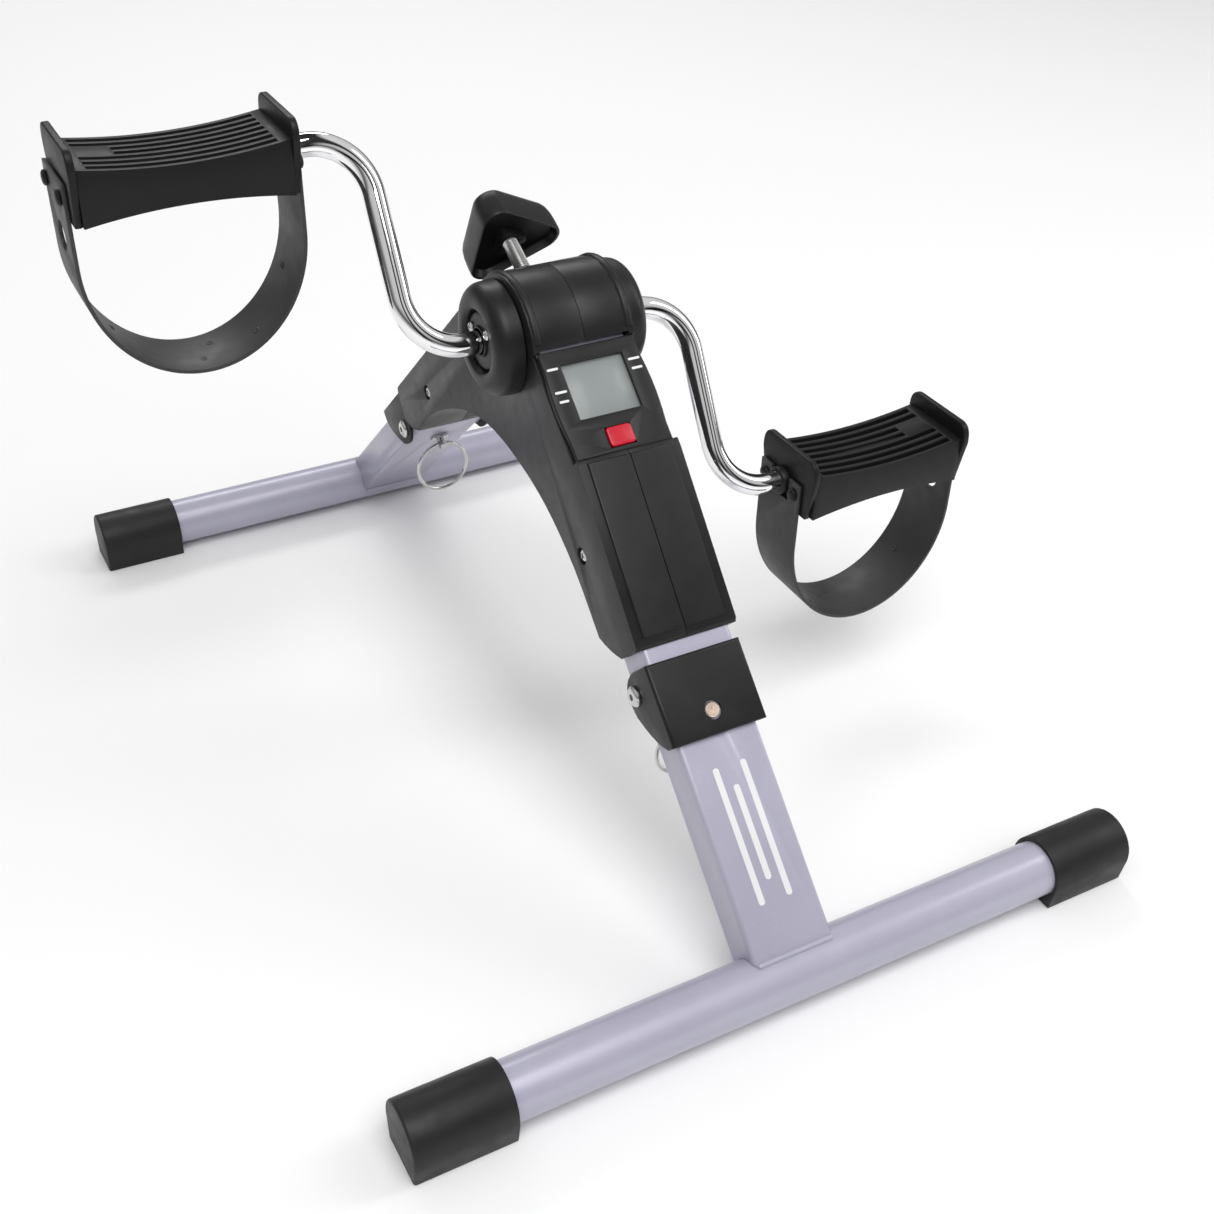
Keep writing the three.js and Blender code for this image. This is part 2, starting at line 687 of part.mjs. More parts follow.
function flangePlate(name, side) {
  const start = coverDomeFace - coverRecess + GAP;
  const top = start + flangeThickness;
  let body = turned([
    [start, rodDiameter / 2 + 1], [start, flangeRadius - GAP],
    [top - 0.5, flangeRadius - GAP], [top, flangeRadius - 1],
    [top, rodDiameter / 2 + 1.8], [top + 1.2, rodDiameter / 2 + 1.5],
    [top + 1.2, rodDiameter / 2 + 1],
  ], 20);
  for (const angle of hubScrewAngles) {
    const y = hubScrewRadius * Math.cos(angle);
    const z = hubScrewRadius * Math.sin(angle);
    body = body.subtract(barX(hubScrewShank + GAP, 0, REACH, y, z, 10));
  }
  body = body.translate([0, crankAxis.y, crankAxis.z]);
  return mesh(name, side > 0 ? body : mirrored(body), blackPlastic);
}

function hubScrew(name, side, angle) {
  const seat = coverDomeFace - coverRecess + 2 * GAP + flangeThickness;
  const body = screw(hubScrewHead, hubScrewShank, seat, seat + 1.4, seat - 9.7)
    .translate([0, crankAxis.y + hubScrewRadius * Math.cos(angle),
      crankAxis.z + hubScrewRadius * Math.sin(angle)]);
  return mesh(name, side > 0 ? body : mirrored(body), zinc);
}

// -------------------------------------------------- hub, drum, brake and knob

function hubShell() {
  const half = hubLength / 2;
  const body = barX(hubRadius, -half, half, crankAxis.y, crankAxis.z, 28)
    .subtract(barX(hubRadius - hubWall, -half - PAST, half + PAST, crankAxis.y, crankAxis.z, 28))
    .subtract(onStud(barZ(studDiameter / 2 + GAP, 5, knobStart)));
  return mesh('hub_shell', body, paint);
}

function hubBearing(name, side) {
  const outer = hubRadius - hubWall - GAP;
  const end = hubLength / 2 - GAP;
  const bore = rodDiameter / 2 + bearingClearance;
  const body = turned([
    [end - bearingLength, bore], [end - bearingLength, outer], [end, outer], [end, bore],
  ], 18).translate([0, crankAxis.y, crankAxis.z]);
  return mesh(name, side > 0 ? body : mirrored(body), nylon);
}

function brakeDrum() {
  const half = drumLength / 2;
  const body = turned([
    [-half, rodDiameter / 2 + GAP], [-half, drumRadius], [half, drumRadius],
    [half, rodDiameter / 2 + GAP],
  ], 24).translate([0, crankAxis.y, crankAxis.z]);
  return mesh('brake_drum', body, zinc);
}

/** Curved pad between the drum and the end of the stud. */
function brakePad() {
  const inner = drumRadius + GAP;
  const outer = inner + padThickness;
  const shape = new THREE.Shape();
  shape.absarc(0, 0, outer, studAngle - padSpread, studAngle + padSpread);
  shape.absarc(0, 0, inner, studAngle + padSpread, studAngle - padSpread, true);
  const body = prism(shape, -padHalf, padHalf, 8).translate([0, crankAxis.y, crankAxis.z]);
  return mesh('brake_pad', body, felt);
}

function tensionStud() {
  const body = onStud(barZ(studDiameter / 2, studTip, knobStart + knobSocket));
  return mesh('tension_stud', body, zinc);
}

function studNut() {
  const start = hubRadius + GAP;
  const body = onStud(barZ(studNutRadius, start, start + studNutHeight, 0, 0, 6)
    .subtract(barZ(studDiameter / 2 + GAP, start - PAST, start + studNutHeight + PAST)));
  return mesh('stud_nut', body, zinc);
}

/** Three-cornered outline with round corners, one corner towards +X. */
function knobOutline(reach, rounding) {
  const shape = new THREE.Shape();
  for (let corner = 0; corner < 3; corner += 1) {
    const middle = corner * Math.PI * 2 / 3;
    const u = reach * Math.cos(middle);
    const v = reach * Math.sin(middle);
    shape.absarc(u, v, rounding, middle - Math.PI / 3, middle + Math.PI / 3);
  }
  return shape;
}

function tensionKnob() {
  const geometry = new THREE.ExtrudeGeometry(knobOutline(knobCorner, knobRounding), {
    depth: knobHeight - 2 * knobBevel,
    bevelEnabled: true,
    bevelThickness: knobBevel,
    bevelSize: knobBevel,
    bevelOffset: -knobBevel,
    bevelSegments: 2,
    curveSegments: 5,
  });
  geometry.translate(0, 0, knobStart + knobBevel);
  const body = onStud(solid(geometry)
    .subtract(barZ(studDiameter / 2 + GAP, knobStart - PAST, knobStart + knobSocket + GAP)));
  return mesh('tension_knob', body, blackPlastic);
}

// ------------------------------------------------------------------- cranks

/** One bent rod in the plane of X and the crank's radius: out, along, out. */
function crankRod(name, side) {
  const radius = Math.hypot(crankThrow.y, crankThrow.z);
  const direction = new THREE.Vector3(0, -side * crankThrow.y / radius, -side * crankThrow.z / radius);
  const at = (x, r) => direction.clone().multiplyScalar(r)
    .add(new THREE.Vector3(side * x, crankAxis.y, crankAxis.z));
  const path = new THREE.CurvePath();
  const line = (a, b) => path.add(new THREE.LineCurve3(a, b));
  const kappa = 0.5523 * crankBend;
  line(at(GAP, 0), at(crankOffset - crankBend, 0));
  path.add(new THREE.CubicBezierCurve3(
    at(crankOffset - crankBend, 0), at(crankOffset - crankBend + kappa, 0),
    at(crankOffset, crankBend - kappa), at(crankOffset, crankBend)));
  line(at(crankOffset, crankBend), at(crankOffset, radius - crankBend));
  path.add(new THREE.CubicBezierCurve3(
    at(crankOffset, radius - crankBend), at(crankOffset, radius - crankBend + kappa),
    at(crankOffset + crankBend - kappa, radius), at(crankOffset + crankBend, radius)));
  line(at(crankOffset + crankBend, radius), at(rodEnd, radius));
  const section = new THREE.Shape();
  section.absarc(0, 0, rodDiameter / 2, 0, Math.PI * 2);
  const geometry = new THREE.ExtrudeGeometry(section, {
    steps: 28,
    extrudePath: path,
    curveSegments: 6,
  });
  return mesh(name, solid(geometry), chrome);
}

/** Small magnet on the drum's side that passes the speed sensor. */
function sensorMagnet() {
  const start = drumLength / 2 + GAP;
  const body = barX(magnetRadius, start, start + sensorThickness,
    crankAxis.y, crankAxis.z - magnetOffset, 12);
  return mesh('sensor_magnet', body, magnetMetal);
}

/** Switch on the hub's wall that the magnet passes once a turn. */
function reedSensor() {
  const low = hubRadius - hubWall - 1.2;
  const start = drumLength / 2 + GAP + sensorThickness + sensorClearance;
  const body = box(start, start + sensorThickness, crankAxis.y - 3, crankAxis.y + 3,
    crankAxis.z - low, crankAxis.z - low + 8.8);
  return mesh('reed_sensor', body, blackPlastic);
}

// ------------------------------------------------------------------- display

function displayCase() {
  const half = display.width / 2;
  const low = -display.length / 2;
  const high = display.length / 2;
  const rim = new THREE.Shape();
  rim.moveTo(-half + displayBulge, low);
  rim.lineTo(half - displayBulge, low);
  rim.lineTo(half - displayBulge, low + 9);
  rim.quadraticCurveTo(half + displayBulge * 0.4, 0, half - displayBulge, high - 11);
  rim.lineTo(half - displayBulge, high);
  rim.lineTo(-half + displayBulge, high);
  rim.lineTo(-half + displayBulge, high - 11);
  rim.quadraticCurveTo(-half - displayBulge * 0.4, 0, -half + displayBulge, low + 9);
  const plate = solid(new THREE.ExtrudeGeometry(rim, {
    depth: display.depth, bevelEnabled: false, curveSegments: 6,
  })).translate([0, 0, -display.depth]);
  const tray = box(-caseHalf, caseHalf, caseLow, caseHigh, -caseDepth, -display.depth + 0.5);
  const cavity = box(-caseHalf + caseWall, caseHalf - caseWall, caseLow + caseWall,
    caseHigh - caseWall, -caseDepth + caseWall, -faceThickness);
  const windowCut = box(-windowWidth / 2, windowWidth / 2, windowOffset - windowLength / 2,
    windowOffset + windowLength / 2, -display.depth, PAST);
  const buttonCut = box(-buttonSize.x / 2 - GAP, buttonSize.x / 2 + GAP,
    buttonOffset - buttonSize.y / 2 - GAP, buttonOffset + buttonSize.y / 2 + GAP,
    -display.depth, PAST);
  const body = plate.add(tray).subtract(cavity).subtract(windowCut).subtract(buttonCut);
  return mesh('display_case', moved(body, displayFrame), blackPlastic);
}

/** A plain block in the display's own axes. */
function displayBlock(name, halfWidth, ends, layer, material) {
  const body = box(-halfWidth, halfWidth, ...ends, ...layer);
  return mesh(name, moved(body, displayFrame), material);
}

function resetButton() {
  const { x, y } = buttonSize;
  const key = solid(new THREE.ExtrudeGeometry(roundedRectangle(x, y, 1.6, 0, buttonOffset), {
    depth: 5, bevelEnabled: true, bevelThickness: 0.8, bevelSize: 0.8, bevelOffset: -0.8,
    bevelSegments: 1, curveSegments: 3,
  })).translate([0, 0, -4]);
  const flange = box(-x / 2 - 1.2, x / 2 + 1.2, buttonOffset - y / 2 - 0.2,
    buttonOffset + y / 2 + 1, -5, -faceThickness - GAP);
  return mesh('reset_button', moved(key.add(flange), displayFrame), red);
}

function batteryCell() {
  const body = barZ(cell.radius, -caseDepth + caseWall + GAP, boardLayer[0] - GAP, cell.x, cell.y);
  return mesh('battery', moved(body, displayFrame), zinc);
}

// ------------------------------------------------------------------- pedals

/** Side outline of an end plate in (y, z): wide above the tread, narrow below. */
function plateOutline() {
  const half = pedalWidth / 2;
  const top = pedalHeight / 2;
  const shape = new THREE.Shape();
  shape.moveTo(-half + 3, -top);
  shape.lineTo(half - 3, -top);
  shape.lineTo(half + 2.2, top - 3);
  shape.quadraticCurveTo(half + 2.6, top + plateRise, half - 5, top + plateRise);
  shape.lineTo(-half + 5, top + plateRise);
  shape.quadraticCurveTo(-half - 2.6, top + plateRise, -half - 2.2, top - 3);
  return shape;
}

/** Front outline of a long wall in (x, z), hollow above and below. */
function treadOutline() {
  const top = pedalHeight / 2;
  const middle = (pedalInner + pedalOuter) / 2;
  const shape = new THREE.Shape();
  shape.moveTo(pedalInner + 1, top);
  shape.quadraticCurveTo(middle, top - 2 * treadDip, pedalOuter - 1, top);
  shape.lineTo(pedalOuter - 1, -top);
  shape.quadraticCurveTo(middle, -top + 2 * treadDip, pedalInner + 1, -top);
  return shape;
}

/** A slab of the tread outline between two y values. */
function treadSlab(y0, y1) {
  const geometry = new THREE.ExtrudeGeometry(treadOutline(), {
    depth: y1 - y0,
    bevelEnabled: false,
    curveSegments: 5,
  });
  geometry.rotateX(Math.PI / 2);
  geometry.translate(0, y1, 0);
  return solid(geometry);
}

/** Two positions in rising order. */
function span(a, b) {
  return a < b ? [a, b] : [b, a];
}

/** Pedal body about its own axis: ribs between two end plates. */
function pedalSolid() {
  const half = pedalWidth / 2;
  const pitch = (pedalWidth - ribWidth) / (ribCount - 1);
  const plate = prism(plateOutline(), 0, plateThickness, 5);
  let body = plate.translate([pedalInner, 0, 0])
    .add(plate.translate([pedalOuter - plateThickness, 0, 0]));
  for (let rib = 0; rib < ribCount; rib += 1) {
    const y0 = -half + rib * pitch;
    body = body.add(treadSlab(y0, y0 + ribWidth));
  }
  const pad = treadSlab(-pitch * 0.9, pitch * 1.1)
    .intersect(box(pedalOuter - treadPad.from, pedalOuter - treadPad.to, -half, half, 0, REACH));
  const web = box(pedalInner, pedalOuter, -half + PAST, half - PAST, -2, 2);
  const tube = barX(bushRadius + GAP + tubeWall, pedalInner, pedalOuter, 0, 0, 18);
  body = body.add(pad).add(web).translate([0, pedalShift, 0]).add(tube);
  for (const y of pegSpots) {
    const outside = strapThickness + 2 * GAP;
    for (const [face, way] of [[pedalInner, -1], [pedalOuter, 1]]) {
      const neck = span(face - way * PAST, face + way * outside);
      const cap = span(face + way * outside, face + way * (outside + pegHeadHeight));
      body = body.add(barX(pegRadius, ...neck, y, pegHeight, 8))
        .add(barX(pegHead, ...cap, y, pegHeight, 12));
    }
  }
  const bore = barX(bushRadius + GAP, pedalInner - PAST, pedalOuter - plateThickness - PAST, 0, 0, 18);
  return body.subtract(bore);
}

function bushSolid() {
  const bore = rodDiameter / 2 + bushClearance;
  const start = pedalInner - bushCollar.length;
  const end = pedalOuter - plateThickness - 4;
  return turned([
    [start, bore], [start, bushCollar.radius - 0.8], [start + 0.9, bushCollar.radius],
    [pedalInner - GAP, bushCollar.radius], [pedalInner - GAP, bushRadius],
    [end, bushRadius], [end, bore],
  ], 18);
}

/** The foot strap's path in (x, z), from one end plate down and up to the other. */
function strapOutline() {
  const inner = pedalInner - GAP - strapThickness;
  const outer = pedalOuter + GAP + strapThickness;
  const middle = (inner + outer) / 2;
  const reach = (outer - inner) / 2;
  const curve = (half, depth, from, to, back) => {
    const arc = new THREE.EllipseCurve(middle, -strapStraight, half, depth, from, to, back);
    return arc.getPoints(16);
  };
  const outside = curve(reach, strapDrop - strapStraight, Math.PI, 2 * Math.PI, false);
  const inside = curve(reach - strapThickness, strapDrop - strapStraight - strapThickness,
    2 * Math.PI, Math.PI, true);
  return new THREE.Shape([
    new THREE.Vector2(inner, strapTop), ...outside, new THREE.Vector2(outer, strapTop),
    new THREE.Vector2(outer - strapThickness, strapTop), ...inside,
    new THREE.Vector2(inner + strapThickness, strapTop),
  ]);
}

function strapSolid() {
  const geometry = new THREE.ExtrudeGeometry(strapOutline(), {
    depth: strapWidth,
    bevelEnabled: false,
  });
  geometry.rotateX(Math.PI / 2);
  geometry.translate(0, strapWidth / 2, 0);
  let body = solid(geometry);
  for (const y of pegSpots) {
    body = body.subtract(barX(pegRadius + GAP, 0, REACH, y, pegHeight, 10));
  }
  const room = bushCollar.radius + 2 * GAP;
  const spindleRoom = box(0, pedalInner + 5, -room, room, -room, REACH);
  const grip = barX(gripHole.radius, pedalOuter - 10, REACH, 0, -gripHole.drop, 16);
  return body.subtract(spindleRoom).subtract(grip);
}

function pedalParts(side) {
  const word = side < 0 ? 'left' : 'right';
  const put = (body) => (side < 0 ? mirrored(body) : body).translate([
    0, crankAxis.y - side * crankThrow.y, crankAxis.z - side * crankThrow.z]);
  return [
    mesh(`${word}_pedal_body`, put(pedalSolid()), blackPlastic),
    mesh(`${word}_pedal_bush`, put(bushSolid()), blackPlastic),
    mesh(`${word}_foot_strap`, put(strapSolid()), rubber),
  ];
}

// ------------------------------------------------------------------ assembly

const exerciser = new THREE.Group();

for (const [key, end] of [['front', -1], ['rear', 1]]) {
  const { arm, tilt } = arms[key];
  // The rear arm is turned half round, so its bolt is handed the other way.
  const handed = end < 0 ? -1 : 1;
  arm.add(floorBar(`${key}_floor_bar`));
  arm.add(endCap(end < 0 ? 'front_left_cap' : 'rear_right_cap', -1));
  arm.add(endCap(end < 0 ? 'front_right_cap' : 'rear_left_cap', 1));
  tilt.add(legTube(`${key}_leg_tube`));
  tilt.add(upperTube(`${key}_upper_tube`, end, screwSpots[key]));
  tilt.add(hingeCover(`${key}_hinge_cover`));
  tilt.add(pivotBolt(`${key}_pivot_bolt`, handed));
  tilt.add(pivotNut(`${key}_pivot_nut`, handed));
  tilt.add(pinButton(`${key}_pin_button`));
  tilt.add(lockPin(`${key}_lock_pin`));
  tilt.add(pullRing(`${key}_pull_ring`));
  exerciser.add(arm);
}

exerciser.add(hubShell());
for (const [word, side] of [['left', -1], ['right', 1]]) {
  exerciser.add(housingShell(`${word}_housing_shell`, side));
  exerciser.add(hubCover(`${word}_hub_cover`, side));
  exerciser.add(flangePlate(`${word}_flange_plate`, side));
  hubScrewAngles.forEach((angle, i) => {
    exerciser.add(hubScrew(`${word}_hub_screw_${i + 1}`, side, angle));
  });
  for (const key of ['front', 'rear']) {
    exerciser.add(housingScrew(`${key}_${word}_housing_screw`, key, side));
  }
  exerciser.add(hubBearing(`${word}_bearing`, side));
  exerciser.add(crankRod(`${word}_crank`, side));
  exerciser.add(...pedalParts(side));
}

exerciser.add(brakeDrum(), brakePad(), tensionStud(), studNut(), tensionKnob());
exerciser.add(sensorMagnet(), reedSensor());
exerciser.add(displayCase(), resetButton(), batteryCell());
const paneHalf = windowWidth / 2 + windowLap;
const paneEnds = [-1, 1].map((way) => windowOffset + way * (windowLength / 2 + windowLap));
exerciser.add(displayBlock('display_lens', paneHalf, paneEnds, lensLayer, clear));
exerciser.add(displayBlock('lcd_panel', paneHalf, paneEnds, lcdLayer, lcdGlass));
exerciser.add(displayBlock('circuit_board', caseHalf - caseWall - GAP,
  [caseLow + caseWall + GAP, caseHigh - caseWall - GAP], boardLayer, board));

export default exerciser;
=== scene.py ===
"""Looks of a folding pedal exerciser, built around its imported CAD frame.

Metres throughout. +X is the user's right, -Y faces the user and +Z is up.
"""

import logging
import math
from collections.abc import Callable, Iterator, Sequence
from contextlib import contextmanager
from dataclasses import dataclass
from enum import Enum

import bmesh
import bpy
from mathutils import Matrix, Vector


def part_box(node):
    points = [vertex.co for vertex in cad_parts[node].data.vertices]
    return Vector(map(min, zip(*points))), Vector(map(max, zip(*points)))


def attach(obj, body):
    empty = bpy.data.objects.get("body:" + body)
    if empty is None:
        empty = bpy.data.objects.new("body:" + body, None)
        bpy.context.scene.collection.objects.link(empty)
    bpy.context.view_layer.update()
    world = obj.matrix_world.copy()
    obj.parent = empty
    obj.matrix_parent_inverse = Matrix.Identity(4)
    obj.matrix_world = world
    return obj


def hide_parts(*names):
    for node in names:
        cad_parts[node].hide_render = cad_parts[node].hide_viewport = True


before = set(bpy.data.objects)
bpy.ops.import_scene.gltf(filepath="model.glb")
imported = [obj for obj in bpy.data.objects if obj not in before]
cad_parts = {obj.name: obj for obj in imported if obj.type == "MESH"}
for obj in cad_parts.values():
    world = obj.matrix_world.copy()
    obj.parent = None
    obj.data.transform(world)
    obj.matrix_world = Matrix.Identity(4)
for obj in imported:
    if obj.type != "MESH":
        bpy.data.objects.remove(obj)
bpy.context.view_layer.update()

log = logging.getLogger("pedal_exerciser")

BARREL_Y = -0.0045
BARREL_Z = 0.234
CRANK_Y = -0.0015
CRANK_Z = 0.235
LEG_ANGLE = math.radians(43.5)
BAR_HEIGHT = 0.016
HALF_FOOTPRINT = 0.25
STUD_ANGLE = math.radians(28)
PIVOT_ALONG = 0.144
PIVOT_DROP = 0.006


class Pick(Enum):
    """What is picked in edit mode."""

    VERT = "VERT"
    EDGE = "EDGE"
    FACE = "FACE"


class Grain(Enum):
    """Surface detail of a finish."""

    MOULDED = "moulded"
    ORANGE_PEEL = "orange_peel"
    BRUSHED = "brushed"
    POLISHED = "polished"
    FELTED = "felted"


# ------------------------------------------------------------------ finishes


def grade(
    tree: bpy.types.NodeTree, value: bpy.types.NodeSocket,
    stops: Sequence[tuple[float, Sequence[float]]],
) -> bpy.types.NodeSocket:
    """Turns a value into a colour by way of a row of stops.

    Args:
        tree: the nodes to add to.
        value: the value that is looked up.
        stops: positions with their red, green and blue.

    Returns:
        The colour's socket.
    """
    ramp = tree.nodes.new("ShaderNodeValToRGB")
    elements = ramp.color_ramp.elements
    while len(elements) < len(stops):
        elements.new(0.5)
    for element, (position, colour) in zip(elements, stops):
        element.position = position
        element.color = (*colour, 1)
    tree.links.new(value, ramp.inputs["Fac"])
    return ramp.outputs["Color"]


def spread(
    tree: bpy.types.NodeTree, value: bpy.types.NodeSocket,
    source: tuple[float, float], target: tuple[float, float],
) -> bpy.types.NodeSocket:
    """Stretches a value from one range to another.

    Args:
        tree: the nodes to add to.
        value: the value that is stretched.
        source: the range it has.
        target: the range it gets.

    Returns:
        The stretched value's socket.
    """
    node = tree.nodes.new("ShaderNodeMapRange")
    node.inputs["From Min"].default_value, node.inputs["From Max"].default_value = source
    node.inputs["To Min"].default_value, node.inputs["To Max"].default_value = target
    tree.links.new(value, node.inputs["Value"])
    return node.outputs["Result"]


DRIFT_SCALE = 24
SCUFF_SCALE = 420
MOTTLE_SCALE = 130
BRUSH_STRETCH = 0.05
GRAIN_STRENGTH = 0.35
COAT_ROUGHNESS = 0.18


@dataclass(frozen=True)
class Finish:
    """One finish of the exerciser.

    The colour drifts a little over the piece, the roughness is mottled, and a
    fine grain stands on the surface. Scuffs can be a little lighter.
    """

    name: str
    base: tuple[float, float, float]
    roughness: float
    metallic: float = 0.0
    grain: Grain = Grain.MOULDED
    grain_scale: float = 1800.0
    grain_depth: float = 0.00004
    drift: float = 0.08
    mottle: float = 0.05
    wear: float = 0.0
    coat: float = 0.0
    specular: float = 0.5
    alpha: float = 1.0

    def material(self) -> bpy.types.Material:
        """Returns the material, built the first time it is asked for."""
        known = bpy.data.materials.get(f"finish_{self.name}")
        if known:
            return known
        material = bpy.data.materials.new(f"finish_{self.name}")
        material.use_nodes = True
        tree = material.node_tree
        shader = tree.nodes["Principled BSDF"]
        shader.inputs["Metallic"].default_value = self.metallic
        shader.inputs["Specular IOR Level"].default_value = self.specular
        shader.inputs["Coat Weight"].default_value = self.coat
        shader.inputs["Coat Roughness"].default_value = COAT_ROUGHNESS
        shader.inputs["Alpha"].default_value = self.alpha
        place = tree.nodes.new("ShaderNodeTexCoord").outputs["Object"]
        self._colour(tree, shader, place)
        self._roughness(tree, shader, place)
        self._grain(tree, shader, place)
        return material

    def _noise(
        self, tree: bpy.types.NodeTree, place: bpy.types.NodeSocket, scale: float, detail: float
    ) -> bpy.types.NodeSocket:
        """Adds a noise on a place and returns its value.

        Args:
            tree: the material's nodes.
            place: the coordinates that the noise is read at.
            scale: cycles in a metre.
            detail: how many finer layers it has.

        Returns:
            The noise's value socket.
        """
        noise = tree.nodes.new("ShaderNodeTexNoise")
        noise.inputs["Scale"].default_value = scale
        noise.inputs["Detail"].default_value = detail
        tree.links.new(place, noise.inputs["Vector"])
        return noise.outputs["Fac"]

    def _colour(
        self, tree: bpy.types.NodeTree, shader: bpy.types.Node, place: bpy.types.NodeSocket
    ) -> None:
        """Links a slowly drifting colour with faint lighter scuffs."""
        dark = [channel * (1 - self.drift) for channel in self.base]
        light = [min(1.0, channel * (1 + self.drift)) for channel in self.base]
        noise = self._noise(tree, place, DRIFT_SCALE, 4)
        colour = grade(tree, noise, ((0.3, dark), (0.7, light)))
        if self.wear > 0:
            noise = self._noise(tree, place, SCUFF_SCALE, 8)
            mask = spread(tree, noise, (0.62, 0.75), (0, self.wear))
            mix = tree.nodes.new("ShaderNodeMix")
            mix.data_type = "RGBA"
            worn = [min(1.0, channel * 1.3 + 0.004) for channel in self.base]
            sockets = [socket for socket in mix.inputs if socket.type == "RGBA"]
            sockets[1].default_value = (*worn, 1)
            tree.links.new(mask, mix.inputs["Factor"])
            tree.links.new(colour, sockets[0])
            colour = next(socket for socket in mix.outputs if socket.type == "RGBA")
        tree.links.new(colour, shader.inputs["Base Color"])

    def _roughness(
        self, tree: bpy.types.NodeTree, shader: bpy.types.Node, place: bpy.types.NodeSocket
    ) -> None:
        """Links a mottled roughness, as from handling and dust."""
        low, high = self.roughness - self.mottle, self.roughness + self.mottle
        noise = self._noise(tree, place, MOTTLE_SCALE, 6)
        value = spread(tree, noise, (0.25, 0.75), (max(0.02, low), min(1.0, high)))
        tree.links.new(value, shader.inputs["Roughness"])

    def _grain(
        self, tree: bpy.types.NodeTree, shader: bpy.types.Node, place: bpy.types.NodeSocket
    ) -> None:
        """Links the fine relief of the finish."""
        if self.grain is Grain.BRUSHED:
            stretch = tree.nodes.new("ShaderNodeMapping")
            stretch.inputs["Scale"].default_value = (BRUSH_STRETCH, 1, 1)
            tree.links.new(place, stretch.inputs["Vector"])
            place = stretch.outputs["Vector"]
        if self.grain is Grain.MOULDED:
            cells = tree.nodes.new("ShaderNodeTexVoronoi")
            cells.feature = "SMOOTH_F1"
            cells.inputs["Scale"].default_value = self.grain_scale
            tree.links.new(place, cells.inputs["Vector"])
            height = cells.outputs["Distance"]
        else:
            detail = 2 if self.grain is Grain.ORANGE_PEEL else 5
            height = self._noise(tree, place, self.grain_scale, detail)
        bump = tree.nodes.new("ShaderNodeBump")
        bump.inputs["Strength"].default_value = GRAIN_STRENGTH
        bump.inputs["Distance"].default_value = self.grain_depth
        tree.links.new(height, bump.inputs["Height"])
        tree.links.new(bump.outputs["Normal"], shader.inputs["Normal"])


PAINT = Finish("satin_frame_paint", (0.42, 0.41, 0.505), 0.34, 0.12, Grain.ORANGE_PEEL,
               700, 0.00003, 0.035, 0.05, 0.25, 0.25)
PLASTIC = Finish("black_moulded_plastic", (0.009, 0.0088, 0.0094), 0.4, wear=0.35, drift=0.12,
                 specular=0.3)
SHELL = Finish("housing_plastic", (0.01, 0.0098, 0.0104), 0.4, wear=0.35, drift=0.12,
               specular=0.32)
PEDAL = Finish("pedal_plastic", (0.007, 0.0068, 0.0074), 0.44, wear=0.4, drift=0.12,
               specular=0.25)
RUBBER = Finish("cap_rubber", (0.01, 0.01, 0.0105), 0.5, grain_scale=1400,
                grain_depth=0.00006, drift=0.15, mottle=0.09, wear=0.4, specular=0.35)
STRAP = Finish("strap_rubber", (0.03, 0.0295, 0.0305), 0.5, grain_scale=1500,
               grain_depth=0.00005, drift=0.12, mottle=0.07, wear=0.3)
CHROME = Finish("bright_chrome", (0.88, 0.88, 0.89), 0.045, 1.0, Grain.POLISHED, 260,
                0.000004, 0.02, 0.02)
STEEL = Finish("zinc_steel", (0.6, 0.6, 0.59), 0.24, 1.0, Grain.BRUSHED, 2400, 0.000004,
               0.05, 0.05)
COPPERED = Finish("coppered_steel", (0.82, 0.66, 0.56), 0.3, 0.85, Grain.BRUSHED, 2000,
                  0.000004, 0.08, 0.06)
NYLON = Finish("natural_nylon", (0.75, 0.72, 0.64), 0.5)
FELT = Finish("brake_felt", (0.16, 0.11, 0.07), 0.95, 0.0, Grain.FELTED, 1500, 0.0003, 0.25)
LCD = Finish("lcd_cell", (0.14, 0.165, 0.16), 0.3, 0.0, Grain.POLISHED, 400, 0.000002,
             0.05, 0.03)
WINDOW = Finish("display_window", (0.8, 0.84, 0.84), 0.05, 0.0, Grain.POLISHED, 300,
                0.000002, 0.02, 0.02, alpha=0.12)
BOARD = Finish("board_lacquer", (0.02, 0.12, 0.05), 0.35, 0.0, Grain.POLISHED, 900, 0.00002)
RED = Finish("red_button_plastic", (0.52, 0.002, 0.018), 0.32, grain_depth=0.00001, drift=0.05)
WHITE_INK = Finish("white_ink", (0.75, 0.75, 0.76), 0.5, 0.0, Grain.ORANGE_PEEL, 900,
                   0.00001, 0.04)
# Painted shade: a near-black finish, darker than the black plastic, that stands in for the shade in
# the display's recess.
SHADOW = Finish("painted_recess_shade", (0.006, 0.006, 0.006), 0.6)


@dataclass(frozen=True)
class Ground:
    """The plain pale floor that the object stands on."""

    name: str = "pale_floor"
    shade: float = 0.9

    def material(self) -> bpy.types.Material:
        """Returns the floor's material."""
        material = bpy.data.materials.new(self.name)
        material.use_nodes = True
        shader = material.node_tree.nodes["Principled BSDF"]
        shader.inputs["Base Color"].default_value = (self.shade, self.shade, self.shade, 1)
        shader.inputs["Roughness"].default_value = 0.7
        shader.inputs["Specular IOR Level"].default_value = 0.2
        return material


# ----------------------------------------------------------------- workbench

MERGE = 1e-6
NEAR = 1e-4


def deselect() -> None:
    """Leaves edit mode if it is on, and selects nothing."""
    if bpy.context.object and bpy.context.object.mode != "OBJECT":
        bpy.ops.object.mode_set(mode="OBJECT")
    bpy.ops.object.select_all(action="DESELECT")


def take(piece: bpy.types.Object) -> None:
    """Makes one piece the only selected and active one."""
    deselect()
    piece.select_set(True)
    bpy.context.view_layer.objects.active = piece


